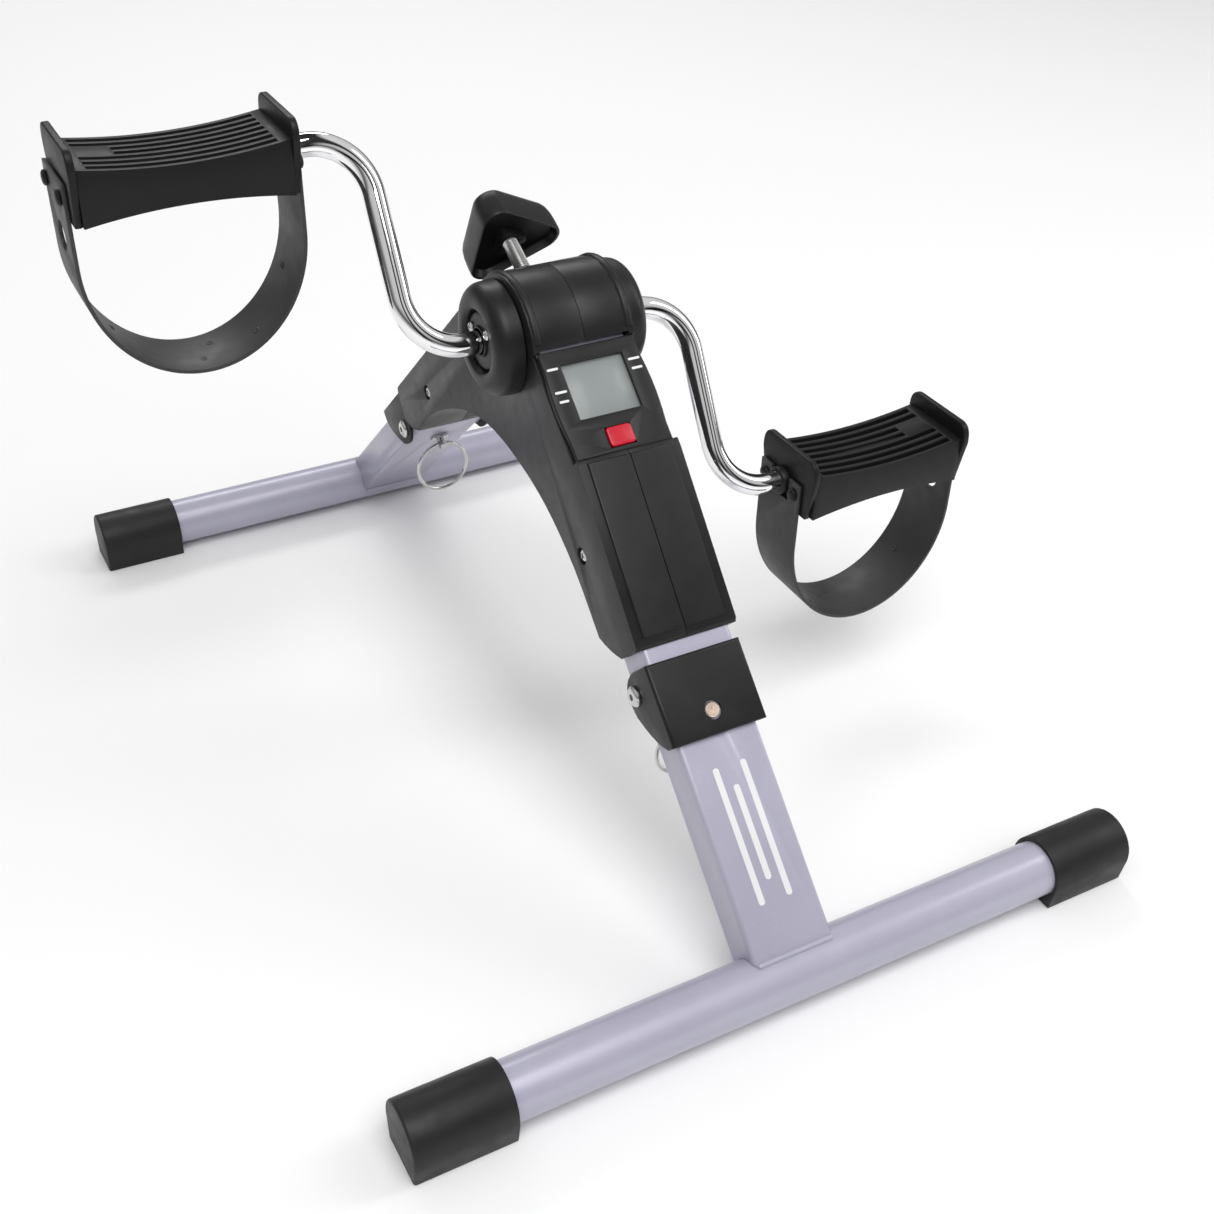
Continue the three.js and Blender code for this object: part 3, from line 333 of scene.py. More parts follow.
@contextmanager
def editing(piece: bpy.types.Object, pick: Pick = Pick.VERT) -> Iterator[None]:
    """Edits one piece, with everything in it selected at first.

    Args:
        piece: the piece to edit.
        pick: whether vertices, edges or faces are picked.

    Yields:
        Nothing.
    """
    take(piece)
    bpy.ops.object.mode_set(mode="EDIT")
    bpy.ops.mesh.select_mode(type=pick.value)
    bpy.ops.mesh.select_all(action="SELECT")
    yield
    bpy.ops.object.mode_set(mode="OBJECT")


def choose(piece: bpy.types.Object, pick: Pick, test: Callable[..., bool]) -> int:
    """Selects the elements that pass a test, in edit mode.

    Args:
        piece: the piece being edited.
        pick: what kind of element is tested.
        test: takes an element and says whether it is wanted.

    Returns:
        How many elements were selected.
    """
    bpy.ops.mesh.select_mode(type=pick.value)
    bpy.ops.mesh.select_all(action="DESELECT")
    mesh = bmesh.from_edit_mesh(piece.data)
    elements = {Pick.VERT: mesh.verts, Pick.EDGE: mesh.edges, Pick.FACE: mesh.faces}[pick]
    wanted = [element for element in elements if test(element)]
    for element in wanted:
        element.select_set(True)
    bmesh.update_edit_mesh(piece.data)
    return len(wanted)


def place(piece: bpy.types.Object, matrix: Matrix) -> bpy.types.Object:
    """Moves a piece by a matrix and puts its place into its mesh.

    Args:
        piece: the piece, which may still have a place of its own.
        matrix: the move, in the object's frame.

    Returns:
        The same piece.
    """
    take(piece)
    piece.matrix_world = matrix @ piece.matrix_world
    bpy.ops.object.transform_apply(location=True, rotation=True, scale=True)
    if matrix.determinant() < 0:
        close_up(piece)
    return piece


def close_up(piece: bpy.types.Object) -> bpy.types.Object:
    """Merges doubled points and turns the faces outwards."""
    with editing(piece):
        bpy.ops.mesh.remove_doubles(threshold=MERGE)
        bpy.ops.mesh.normals_make_consistent(inside=False)
    return piece


def apply_modifier(piece: bpy.types.Object, kind: str, **settings: object) -> bpy.types.Object:
    """Adds a modifier with the given settings and applies it."""
    take(piece)
    modifier = piece.modifiers.new(kind.lower(), kind)
    for key, value in settings.items():
        setattr(modifier, key, value)
    bpy.ops.object.modifier_apply(modifier=modifier.name)
    return piece


def round_edges(
    piece: bpy.types.Object, width: float, segments: int = 2, angle: float = 32
) -> bpy.types.Object:
    """Rounds every edge sharper than an angle, given in degrees."""
    return apply_modifier(
        piece, "BEVEL", width=width, segments=segments, limit_method="ANGLE",
        angle_limit=math.radians(angle), miter_outer="MITER_ARC", harden_normals=False,
    )


def round_chosen(
    piece: bpy.types.Object, test: Callable[[bmesh.types.BMEdge], bool],
    width: float, segments: int = 4,
) -> bpy.types.Object:
    """Rounds the edges that pass a test.

    Args:
        piece: the piece.
        test: says whether an edge is wanted.
        width: how far the rounding reaches from the edge.
        segments: how many facets it has.

    Returns:
        The same piece.
    """
    with editing(piece, Pick.EDGE):
        if choose(piece, Pick.EDGE, test):
            bpy.ops.mesh.bevel(offset=width, segments=segments, affect="EDGES", clamp_overlap=True)
    return piece


def rises(edge: bmesh.types.BMEdge) -> bool:
    """Whether an edge has one end above the other."""
    return abs(edge.verts[0].co.z - edge.verts[1].co.z) > 1e-5


def cut(piece: bpy.types.Object, cutter: bpy.types.Object) -> bpy.types.Object:
    """Cuts a piece with another, which is used up."""
    apply_modifier(piece, "BOOLEAN", object=cutter, operation="DIFFERENCE", solver="EXACT")
    bpy.data.objects.remove(cutter)
    return piece


def copied(piece: bpy.types.Object, name: str, matrix: Matrix) -> bpy.types.Object:
    """Returns a copy of a piece with its own mesh, moved by a matrix."""
    twin = piece.copy()
    twin.data = piece.data.copy()
    twin.name = name
    bpy.context.scene.collection.objects.link(twin)
    return place(twin, matrix)


def finished(
    piece: bpy.types.Object, finish: Finish, body: str,
    nodes: Sequence[str] = (), smooth: float = 38,
) -> bpy.types.Object:
    """Shades, dresses and mounts a piece.

    Args:
        piece: the piece, in its place.
        finish: its finish.
        body: the CAD body that it moves with.
        nodes: the CAD nodes that it stands for.
        smooth: edges flatter than this many degrees are shaded smooth.

    Returns:
        The same piece.
    """
    take(piece)
    bpy.ops.object.shade_smooth_by_angle(angle=math.radians(smooth))
    piece.data.materials.clear()
    piece.data.materials.append(finish.material())
    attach(piece, body)
    if nodes:
        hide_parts(*nodes)
    log.info("%s: %d faces", piece.name, len(piece.data.polygons))
    return piece


def block(name: str, low: Sequence[float], high: Sequence[float]) -> bpy.types.Object:
    """A box between two corners, to be shaped further."""
    deselect()
    middle = [(a + b) / 2 for a, b in zip(low, high)]
    bpy.ops.mesh.primitive_cube_add(size=1, location=middle)
    piece = bpy.context.object
    piece.name = name
    piece.scale = [b - a for a, b in zip(low, high)]
    bpy.ops.object.transform_apply(location=True, rotation=True, scale=True)
    return piece


def round_bar(
    name: str, radius: float, start: float, end: float, sides: int = 48
) -> bpy.types.Object:
    """A round bar on Z between two heights, to be shaped further."""
    deselect()
    bpy.ops.mesh.primitive_cylinder_add(
        vertices=sides, radius=radius, depth=end - start, location=(0, 0, (start + end) / 2)
    )
    piece = bpy.context.object
    piece.name = name
    bpy.ops.object.transform_apply(location=True, rotation=True, scale=True)
    return piece


def chain(name: str, points: Sequence[Vector]) -> bpy.types.Object:
    """An open line through points, drawn out from a single corner."""
    deselect()
    bpy.ops.mesh.primitive_plane_add(size=0.001)
    piece = bpy.context.object
    piece.name = name
    with editing(piece):
        bpy.ops.mesh.merge(type="CENTER")
        bpy.ops.transform.translate(value=points[0])
        for before, after in zip(points, points[1:]):
            bpy.ops.mesh.extrude_region_move(TRANSFORM_OT_translate={"value": after - before})
    return piece


def turned(
    name: str, profile: Sequence[tuple[float, float]], steps: int = 48, angle: float = 2 * math.pi
) -> bpy.types.Object:
    """A turned piece on Z: a closed profile of (height, radius) spun round.

    Args:
        name: the piece's name.
        profile: the corners of the section, in order.
        steps: how many steps the turn takes.
        angle: how far it turns.

    Returns:
        The piece, closed and facing outwards.
    """
    points = [Vector((radius, 0, height)) for height, radius in profile]
    piece = chain(name, [*points, points[0]])
    with editing(piece):
        bpy.ops.mesh.spin(steps=steps, angle=angle, center=(0, 0, 0), axis=(0, 0, 1))
        bpy.ops.mesh.select_all(action="SELECT")
        bpy.ops.mesh.remove_doubles(threshold=MERGE)
        if angle < 2 * math.pi:
            bpy.ops.mesh.fill_holes(sides=0)
        bpy.ops.mesh.normals_make_consistent(inside=False)
    return piece


def slab(name: str, outline: Sequence[Vector], depth: Vector) -> bpy.types.Object:
    """A flat plate: a closed outline filled and drawn out by a vector."""
    piece = chain(name, [*outline, outline[0]])
    with editing(piece):
        bpy.ops.mesh.remove_doubles(threshold=1e-7)
        bpy.ops.mesh.edge_face_add()
        bpy.ops.mesh.extrude_region_move(TRANSFORM_OT_translate={"value": depth})
        bpy.ops.mesh.select_all(action="SELECT")
        bpy.ops.mesh.normals_make_consistent(inside=False)
    return piece


def refined(node: str, name: str) -> bpy.types.Object:
    """A clean copy of a CAD node, merged and with its flat faces made whole."""
    piece = bpy.data.objects.new(name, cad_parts[node].data.copy())
    bpy.context.scene.collection.objects.link(piece)
    take(piece)
    bpy.ops.mesh.customdata_custom_splitnormals_clear()
    with editing(piece):
        bpy.ops.mesh.remove_doubles(threshold=MERGE)
        bpy.ops.mesh.dissolve_limited(angle_limit=math.radians(0.6))
    return piece


def curve_through(
    start: tuple[float, float], bend: tuple[float, float], end: tuple[float, float], steps: int
) -> list[tuple[float, float]]:
    """Points on a smooth bend between two points, without the first one."""
    points = []
    for step in range(1, steps + 1):
        t = step / steps
        weights = ((1 - t) ** 2, 2 * t * (1 - t), t * t)
        points.append(tuple(
            weights[0] * a + weights[1] * b + weights[2] * c for a, b, c in zip(start, bend, end)
        ))
    return points


TO_X = Matrix.Rotation(math.pi / 2, 4, "Y")
MIRROR = Matrix.Diagonal((-1, 1, 1, 1))


def at(x: float, y: float, z: float) -> Matrix:
    """A plain shift."""
    return Matrix.Translation((x, y, z))


def facing(direction: Vector) -> Matrix:
    """Turns +Z to a direction."""
    return direction.to_track_quat("Z", "Y").to_matrix().to_4x4()


def to_side(side: int) -> Matrix:
    """Turns a piece on +Z to lie along X, outwards on one side."""
    return TO_X if side > 0 else Matrix.Rotation(math.pi, 4, "Z") @ TO_X


@dataclass(frozen=True)
class Arm:
    """One folding arm's own axes: y up along the leg, z square to its face."""

    end: int

    @property
    def word(self) -> str:
        """The arm's name."""
        return "front" if self.end < 0 else "rear"

    def matrix(self) -> Matrix:
        """From the arm's axes to the object's."""
        turn = Matrix.Identity(4) if self.end < 0 else Matrix.Rotation(math.pi, 4, "Z")
        lift = at(0, self.end * HALF_FOOTPRINT, BAR_HEIGHT)
        return lift @ turn @ Matrix.Rotation(LEG_ANGLE, 4, "X")


ARMS = (Arm(-1), Arm(1))
SIDES = (("left", -1), ("right", 1))


# ------------------------------------------------------------ sub-assemblies


@dataclass
class FloorBars:
    """The two floor bars with their rubber end caps."""

    radius: float = 0.014
    wall: float = 0.0015
    half: float = 0.1917

    def bar(self, arm: Arm) -> bpy.types.Object:
        """Builds one hollow bar, its ends drawn in to a tube's wall."""
        piece = round_bar(f"{arm.word}_floor_bar_tube", self.radius, -self.half, self.half, 64)
        with editing(piece, Pick.FACE):
            choose(piece, Pick.FACE, lambda face: abs(face.normal.z) > 0.9)
            bpy.ops.mesh.inset(thickness=self.wall, use_individual=True)
            bpy.ops.mesh.extrude_region_shrink_fatten(
                TRANSFORM_OT_shrink_fatten={"value": -0.05})
        place(piece, at(0, arm.end * HALF_FOOTPRINT, BAR_HEIGHT) @ TO_X)
        return finished(piece, PAINT, f"{arm.word}_leg", [f"{arm.word}_floor_bar"])

    def cap(self, arm: Arm, word: str) -> bpy.types.Object:
        """Builds one end cap with a softly rounded end and a crisp sole."""
        node = f"{arm.word}_{word}_cap"
        piece = refined(node, f"{node}_moulding")
        low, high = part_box(node)
        outer = high.x if word == "right" else low.x

        def end_edge(edge: bmesh.types.BMEdge) -> bool:
            """Whether an edge runs round the closed end, above the sole."""
            ends = [vert.co for vert in edge.verts]
            return all(abs(co.x - outer) < NEAR for co in ends) and max(co.z for co in ends) > 0.002

        round_chosen(piece, end_edge, 0.0014, 4)
        round_edges(piece, 0.0004, 2, 40)
        return finished(piece, RUBBER, f"{arm.word}_leg", [node])

    def build(self) -> None:
        """Builds both bars and all four caps."""
        for arm in ARMS:
            self.bar(arm)
            for word in ("left", "right"):
                self.cap(arm, word)


@dataclass
class Legs:
    """The two leg tubes, their weld beads and the stripes on the front one."""

    width: float = 0.0434
    depth: float = 0.022
    bar_radius: float = 0.014
    bead: float = 0.0016
    ripples: int = 26

    def tube(self, arm: Arm) -> bpy.types.Object:
        """Builds one leg tube."""
        node = f"{arm.word}_leg_tube"
        piece = refined(node, f"{node}_welded")
        round_edges(piece, 0.0003, 2, 40)
        return finished(piece, PAINT, f"{arm.word}_leg", [node], 50)

    def weld(self, arm: Arm, face: int) -> bpy.types.Object:
        """Builds the rippled weld where one broad face meets the floor bar.

        Args:
            arm: the arm.
            face: 1 for the outer face of the leg and -1 for the inner.

        Returns:
            The bead.
        """
        above = face * self.depth / 2
        along = math.sqrt(self.bar_radius**2 - above**2) + 0.0004
        half = self.width / 2 - 0.0015
        step = 2 * half / self.ripples
        profile = [(-half, 0.0002)]
        for ripple in range(self.ripples):
            start = -half + ripple * step
            profile += [(start + step * 0.2, self.bead * 0.86), (start + step * 0.6, self.bead)]
        profile += [(half, self.bead * 0.8), (half, 0.0002)]
        piece = turned(f"{arm.word}_weld_{'outer' if face > 0 else 'inner'}", profile, 12)
        place(piece, arm.matrix() @ at(0, along, above) @ TO_X)
        return finished(piece, PAINT, f"{arm.word}_leg", (), 60)

    def stripes(self) -> None:
        """Builds three thin printed stripes on the front leg's outer face."""
        arm = ARMS[0]
        face = self.depth / 2 + 0.00004
        layout = ((-0.0075, 0.034, 0.1), (0.0, 0.044, 0.09), (0.0075, 0.034, 0.1))
        for number, (x, low, high) in enumerate(layout, 1):
            name = f"leg_stripe_{number}"
            piece = block(name, (x - 0.0016, low, face), (x + 0.0016, high, face + 0.00008))
            round_chosen(piece, rises, 0.0015, 6)
            place(piece, arm.matrix())
            finished(piece, WHITE_INK, "front_leg")

    def build(self) -> None:
        """Builds both legs."""
        for arm in ARMS:
            self.tube(arm)
            for face in (-1, 1):
                self.weld(arm, face)
        self.stripes()


@dataclass
class Hinges:
    """The hinge covers with their bolts, nuts, lock pins, buttons and rings."""

    cover_outer: float = 0.0257
    cover_face: float = 0.0149
    head: float = 0.0052
    pin_along: float = 0.126
    eye_above: float = -0.0159
    ring: float = 0.016
    wire: float = 0.0011

    def cover(self, arm: Arm) -> bpy.types.Object:
        """Builds one hinge cover with a rounded rim around its face."""
        node = f"{arm.word}_hinge_cover"
        piece = refined(node, f"{node}_moulding")
        inverse = arm.matrix().inverted()

        def on_face(edge: bmesh.types.BMEdge) -> bool:
            """Whether an edge runs along one side of the broad face."""
            ends = [inverse @ vert.co for vert in edge.verts]
            flat = all(abs(co.z - self.cover_face) < NEAR for co in ends)
            side = all(abs(abs(co.x) - self.cover_outer) < NEAR for co in ends)
            return flat and side and edge.calc_face_angle(0) > 0.5

        def on_mouth(edge: bmesh.types.BMEdge) -> bool:
            """Whether an edge runs across one end of the broad face."""
            ends = [inverse @ vert.co for vert in edge.verts]
            flat = all(abs(co.z - self.cover_face) < NEAR for co in ends)
            return flat and abs(ends[0].x - ends[1].x) > 0.02 and edge.calc_face_angle(0) > 0.5

        def on_flank(edge: bmesh.types.BMEdge) -> bool:
            """Whether an edge runs round a flank, away from the bolt's hole."""
            ends = [inverse @ vert.co for vert in edge.verts]
            flat = all(abs(abs(co.x) - self.cover_outer) < NEAR for co in ends)
            apart = all(math.hypot(co.y - PIVOT_ALONG, co.z + PIVOT_DROP) > 0.005 for co in ends)
            return flat and apart and edge.calc_face_angle(0) > 0.5

        round_chosen(piece, on_face, 0.0017, 4)
        round_chosen(piece, on_mouth, 0.0006, 3)
        round_chosen(piece, on_flank, 0.0007, 3)
        return finished(piece, PLASTIC, "frame", [node], 40)

    def sleeve(self, arm: Arm) -> bpy.types.Object:
        """Builds one upper tube, seen between cover and housing."""
        node = f"{arm.word}_upper_tube"
        piece = refined(node, f"{node}_painted")
        return finished(piece, PAINT, "frame", [node], 45)

    def bolt(self, arm: Arm) -> None:
        """Builds the hinge bolt with its domed socket head, and its nut."""
        face = self.cover_outer + 0.0003
        rim = self.head
        bolt = turned(f"{arm.word}_hinge_bolt", [
            (-face, 0.0), (-face, 0.003), (face, 0.003), (face, rim),
            (face + 0.0008, rim), (face + 0.0015, rim - 0.0005), (face + 0.002, rim - 0.0012),
            (face + 0.0022, rim - 0.002), (face + 0.0022, 0.0),
        ], 40)
        socket = round_bar("socket", 0.0019, face + 0.0007, face + 0.01, 6)
        cut(bolt, socket)
        nut = turned(f"{arm.word}_hinge_nut", [
            (face, 0.0033), (face, rim), (face + 0.0012, rim), (face + 0.0022, rim - 0.0006),
            (face + 0.0028, rim - 0.0014), (face + 0.003, 0.0033),
        ], 40)
        y, z = self.pivot(arm)
        for piece, side, node in ((bolt, -1, "pivot_bolt"), (nut, 1, "pivot_nut")):
            place(piece, at(0, y, z) @ to_side(side))
            finished(piece, STEEL, "frame", [f"{arm.word}_{node}"], 30)

    def pivot(self, arm: Arm) -> tuple[float, float]:
        """The hinge bolt's y and z in the object."""
        point = arm.matrix() @ Vector((0, PIVOT_ALONG, -PIVOT_DROP))
        return point.y, point.z

    def button(self, arm: Arm) -> bpy.types.Object:
        """Builds the dimpled button in the cover."""
        low, high = 0.0116, self.cover_face - 0.0001
        piece = turned(f"{arm.word}_button_dimpled", [
            (low, 0.0), (low, 0.0037), (high - 0.0003, 0.0037), (high, 0.0033),
            (high - 0.0001, 0.0013), (high - 0.0006, 0.0009), (high - 0.0007, 0.0),
        ], 32)
        place(piece, arm.matrix() @ at(0, self.pin_along, 0))
        return finished(piece, COPPERED, "frame", [f"{arm.word}_pin_button"], 30)

    def pin(self, arm: Arm) -> bpy.types.Object:
        """Builds the lock pin with its eye."""
        node = f"{arm.word}_lock_pin"
        piece = refined(node, f"{node}_turned")
        round_edges(piece, 0.0002, 2, 40)
        return finished(piece, STEEL, f"{arm.word}_pin", [node], 35)

    def pull_ring(self, arm: Arm) -> bpy.types.Object:
        """Builds the hanging ring, its wire a little flattened on the faces."""
        deselect()
        bpy.ops.mesh.primitive_torus_add(
            major_segments=72, minor_segments=14, major_radius=self.ring, minor_radius=self.wire)
        piece = bpy.context.object
        piece.name = f"{arm.word}_ring_wire"
        with editing(piece):
            bpy.ops.transform.resize(value=(1, 1, 0.92))
        eye = arm.matrix() @ Vector((0, self.pin_along, self.eye_above))
        place(piece, at(0, eye.y, eye.z - self.ring) @ Matrix.Rotation(math.pi / 2, 4, "X"))
        node = f"{arm.word}_pull_ring"
        return finished(piece, STEEL, f"{arm.word}_ring", [node], 60)

    def build(self) -> None:
        """Builds both hinges."""
        for arm in ARMS:
            self.sleeve(arm)
            self.cover(arm)
            self.bolt(arm)
            self.button(arm)
            self.pin(arm)
            self.pull_ring(arm)


@dataclass
class Housing:
    """The two housing shells, the rims on the barrel and the raised front panel."""

    half: float = 0.0272
    barrel: float = 0.033
    seat_depth: float = 0.0037
    display_angle: float = math.radians(40.3)
    display_y: float = -0.0581
    display_z: float = 0.2233
    rim_from: float = math.radians(-20)
    rim_to: float = math.radians(-140)
    panel_low: tuple[float, float] = (0.1665, 0.0158)
    panel_high: tuple[float, float] = (0.252, 0.0216)

    def display_frame(self) -> Matrix:
        """From the display's axes to the object's."""
        shift = at(0, self.display_y, self.display_z)
        return shift @ Matrix.Rotation(self.display_angle, 4, "X")

    def shell(self, word: str) -> bpy.types.Object:
        """Builds one shell: soft outer edges, crisp seam and cut-outs."""
        node = f"{word}_housing_shell"
        piece = refined(node, f"{node}_moulding")
        inverse = self.display_frame().inverted()
        spots = ((-0.0878, 0.1583), (0.0998, 0.1555))

        def outline(edge: bmesh.types.BMEdge) -> bool:
            """Whether an edge is part of the flank's outer outline."""
            ends = [vert.co for vert in edge.verts]
            if not all(abs(abs(co.x) - self.half) < NEAR for co in ends):
                return False
            if edge.calc_face_angle(0) < 0.6:
                return False
            seats = [inverse @ co for co in ends]
            if all(abs(co.y) < 0.0285 and abs(co.z + self.seat_depth) < 3e-4 for co in seats):
                return False
            middle = (ends[0] + ends[1]) / 2
            if math.hypot(middle.y - CRANK_Y, middle.z - CRANK_Z) < 0.012:
                return False
            return all(math.hypot(middle.y - y, middle.z - z) > 0.008 for y, z in spots)

        round_chosen(piece, outline, 0.0024, 4)
        round_edges(piece, 0.00025, 2, 50)
        return finished(piece, SHELL, "frame", [node], 42)

    def rim(self, word: str, side: int) -> bpy.types.Object:
        """Builds the low rounded rim along one side of the barrel."""
        inner, outer = self.half - 0.0052, self.half - 0.0006
        base, crown = self.barrel - 0.0012, self.barrel + 0.0009
        start, end = self.rim_from, self.rim_to
        piece = turned(f"{word}_barrel_rim", [
            (inner, base), (inner + 0.0006, self.barrel), (inner + 0.0014, crown - 0.0002),
            (inner + 0.0026, crown), (outer - 0.0008, crown - 0.0003), (outer, base + 0.0008),
            (outer, base),
        ], 40, end - start)
        place(piece, Matrix.Rotation(start, 4, "X") @ self.spun_to_front())
        place(piece, at(0, BARREL_Y, BARREL_Z) @ (Matrix.Identity(4) if side > 0 else MIRROR))
        return finished(piece, SHELL, "frame", (), 50)

    def spun_to_front(self) -> Matrix:
        """Lays a piece spun on Z along X, its first section to the front (-Y)."""
        return Matrix(((0, 0, 1, 0), (-1, 0, 0, 0), (0, 1, 0, 0), (0, 0, 0, 1)))

    def panel(self, word: str, side: int) -> bpy.types.Object:
        """Builds one half of the raised front panel, with rounded edges."""
        (low, low_above), (high, high_above) = self.panel_low, self.panel_high
        rise = (high_above - low_above) / (high - low)
        near, far = 0.00025, self.half - 0.0047
        piece = block(f"{word}_front_panel", (near, low, -0.0006), (far, high, 0.0011))

        def soft(edge: bmesh.types.BMEdge) -> bool:
            """Whether an edge is on the panel's face, away from the seam."""
            ends = [vert.co for vert in edge.verts]
            return all(co.z > 0 for co in ends) and not all(co.x < near + 1e-5 for co in ends)

        round_chosen(piece, soft, 0.0011, 4)
        with editing(piece):
            mesh = bmesh.from_edit_mesh(piece.data)
            for vert in mesh.verts:
                vert.co.z += low_above + (vert.co.y - low) * rise
            bmesh.update_edit_mesh(piece.data)
        place(piece, (Matrix.Identity(4) if side > 0 else MIRROR) @ ARMS[0].matrix())
        return finished(piece, SHELL, "frame", (), 40)

    def build(self) -> None:
        """Builds the housing."""
        for word, side in SIDES:
            self.shell(word)
            self.rim(word, side)
            self.panel(word, side)


@dataclass
class Screws:
    """Pan-head screws in the housing's flanks and in the hub plates."""

    def screw(
        self, name: str, head: float, shank: float, seat: float, top: float, tip: float
    ) -> bpy.types.Object:
        """Builds one screw on Z with a domed head and a crossed recess.

        Args:
            name: the screw's name.
            head: the head's radius.
            shank: the shank's radius.
            seat: height of the head's underside.
            top: height of the head's top.
            tip: height of the shank's tip.

        Returns:
            The screw.
        """
        piece = turned(name, [
            (tip, 0.0), (tip, shank * 0.6), (tip + 0.001, shank), (seat, shank), (seat, head),
            (seat + (top - seat) * 0.35, head), (seat + (top - seat) * 0.75, head * 0.86),
            (top, head * 0.6), (top, 0.0),
        ], 32)
        long, short = head * 0.55, head * 0.13
        for reach in ((long, short), (short, long)):
            slot = block("slot", (-reach[0], -reach[1], top - 0.0008), (*reach, top + 0.001))
            cut(piece, slot)
        return piece

    def build(self) -> None:
        """Builds and places the eight screws."""
        for node in (
            "front_left_housing_screw", "front_right_housing_screw",
            "rear_left_housing_screw", "rear_right_housing_screw",
            "left_hub_screw_1", "left_hub_screw_2", "right_hub_screw_1", "right_hub_screw_2",
        ):
            low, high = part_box(node)
            side = 1 if high.x > 0 else -1
            top = max(abs(low.x), abs(high.x))
            tip = min(abs(low.x), abs(high.x))
            head = (high.z - low.z) / 2
            shank, height = (0.0016, 0.0017) if "housing" in node else (0.0012, 0.0014)
            piece = self.screw(f"{node}_cross", head, shank, top - height, top, tip)
            place(piece, at(0, (low.y + high.y) / 2, (low.z + high.z) / 2) @ to_side(side))
            finished(piece, STEEL, "frame", [node], 30)


@dataclass
class HubEnds:
    """The round domes over the hub ends and the plates around the cranks."""

    rim: float = 0.0285
    face: float = 0.041
    recess: float = 0.0046
    flange: float = 0.0145
    rod: float = 0.00575

    def dome(self, word: str, side: int) -> bpy.types.Object:
        """Builds one dome with a soft shoulder and a dished middle."""
        start, face, rim, flange = 0.0275, self.face, self.rim, self.flange
        floor = face - self.recess
        shoulder = [
            (face - 0.0075 + 0.0075 * math.sin(a), rim - 0.0085 + 0.008 * math.cos(a))
            for a in (math.radians(step * 11.25) for step in range(9))
        ]
        lip = [
            (face - 0.0022 + 0.0022 * math.cos(a), flange + 0.0035 - 0.0026 * math.sin(a))
            for a in (math.radians(step * 22.5) for step in range(5))
        ]
        piece = turned(f"{word}_hub_dome", [
            (start, rim - 0.0008), (start + 0.0005, rim - 0.0001), *shoulder, *lip,
            (floor, flange + 0.0004), (floor, self.rod + 0.0015),
            (floor - 0.0022, self.rod + 0.0015), (floor - 0.0022, rim - 0.007),
            (start, rim - 0.0022),
        ], 72)
        place(piece, at(0, CRANK_Y, CRANK_Z) @ to_side(side))
        return finished(piece, PLASTIC, "frame", [f"{word}_hub_cover"], 50)

    def plate(self, word: str, side: int) -> bpy.types.Object:
        """Builds one plate around the crank, with its raised collar."""
        start = self.face - self.recess + 0.0003
        edge, rod = self.flange - 0.0003, self.rod
        piece = turned(f"{word}_crank_plate", [
            (start, rod + 0.001), (start, edge), (start + 0.0014, edge),
            (start + 0.0019, edge - 0.0006), (start + 0.002, edge - 0.0014),
            (start + 0.002, rod + 0.0021), (start + 0.003, rod + 0.0018),
            (start + 0.0032, rod + 0.0014), (start + 0.0032, rod + 0.001),
        ], 64)
        place(piece, at(0, CRANK_Y, CRANK_Z) @ to_side(side))
        return finished(piece, PLASTIC, "frame", [f"{word}_flange_plate"], 35)

    def build(self) -> None:
        """Builds both ends."""
        for word, side in SIDES:
            self.dome(word, side)
            self.plate(word, side)


@dataclass
class Cranks:
    """The two bent chrome rods."""

    rod: float = 0.00575
    bend: float = 0.027
    offset: float = 0.074
    throw_y: float = 0.0527
    throw_z: float = 0.0888
    tip: float = 0.205
    bend_steps: int = 20

    @property
    def radius(self) -> float:
        """Distance from the crank axis to the pedal axis."""
        return math.hypot(self.throw_y, self.throw_z)

    def crank(self, word: str, side: int) -> bpy.types.Object:
        """Builds one rod: out, round the first bend, along, round the second, out."""
        deselect()
        bpy.ops.mesh.primitive_circle_add(
            vertices=40, radius=self.rod, location=(0.0003, 0, 0), rotation=(0, math.pi / 2, 0))
        piece = bpy.context.object
        piece.name = f"{word}_crank_rod"
        bpy.ops.object.transform_apply(location=True, rotation=True, scale=True)
        straight = self.radius - 2 * self.bend
        with editing(piece, Pick.EDGE):
            self.draw(Vector((self.offset - self.bend - 0.0003, 0, 0)))
            self.spin((self.offset - self.bend, 0, self.bend), 1)
            self.draw(Vector((0, 0, straight)))
            self.spin((self.offset + self.bend, 0, self.radius - self.bend), -1)
            self.draw(Vector((self.tip - self.offset - self.bend, 0, 0)))
            bpy.ops.mesh.select_all(action="SELECT")
            bpy.ops.mesh.fill_holes(sides=0)
            bpy.ops.mesh.normals_make_consistent(inside=False)
        round_edges(piece, 0.0006, 3, 60)
        out = Vector((side, 0, 0))
        up = Vector((0, -side * self.throw_y, -side * self.throw_z)).normalized()
        across = up.cross(out)
        turn = Matrix((out, across, up)).transposed().to_4x4()
        place(piece, at(0, CRANK_Y, CRANK_Z) @ turn)
        return finished(piece, CHROME, "crankset", [f"{word}_crank"], 50)

    def draw(self, move: Vector) -> None:
        """Draws the selected ring out by a vector."""
        bpy.ops.mesh.extrude_region_move(TRANSFORM_OT_translate={"value": move})

    def spin(self, centre: Sequence[float], way: int) -> None:
        """Turns the selected ring through a quarter about a bend's centre."""
        bpy.ops.mesh.spin(
            steps=self.bend_steps, angle=way * math.pi / 2, center=centre, axis=(0, 1, 0))

    def build(self) -> None:
        """Builds both cranks."""
        for word, side in SIDES:
            self.crank(word, side)


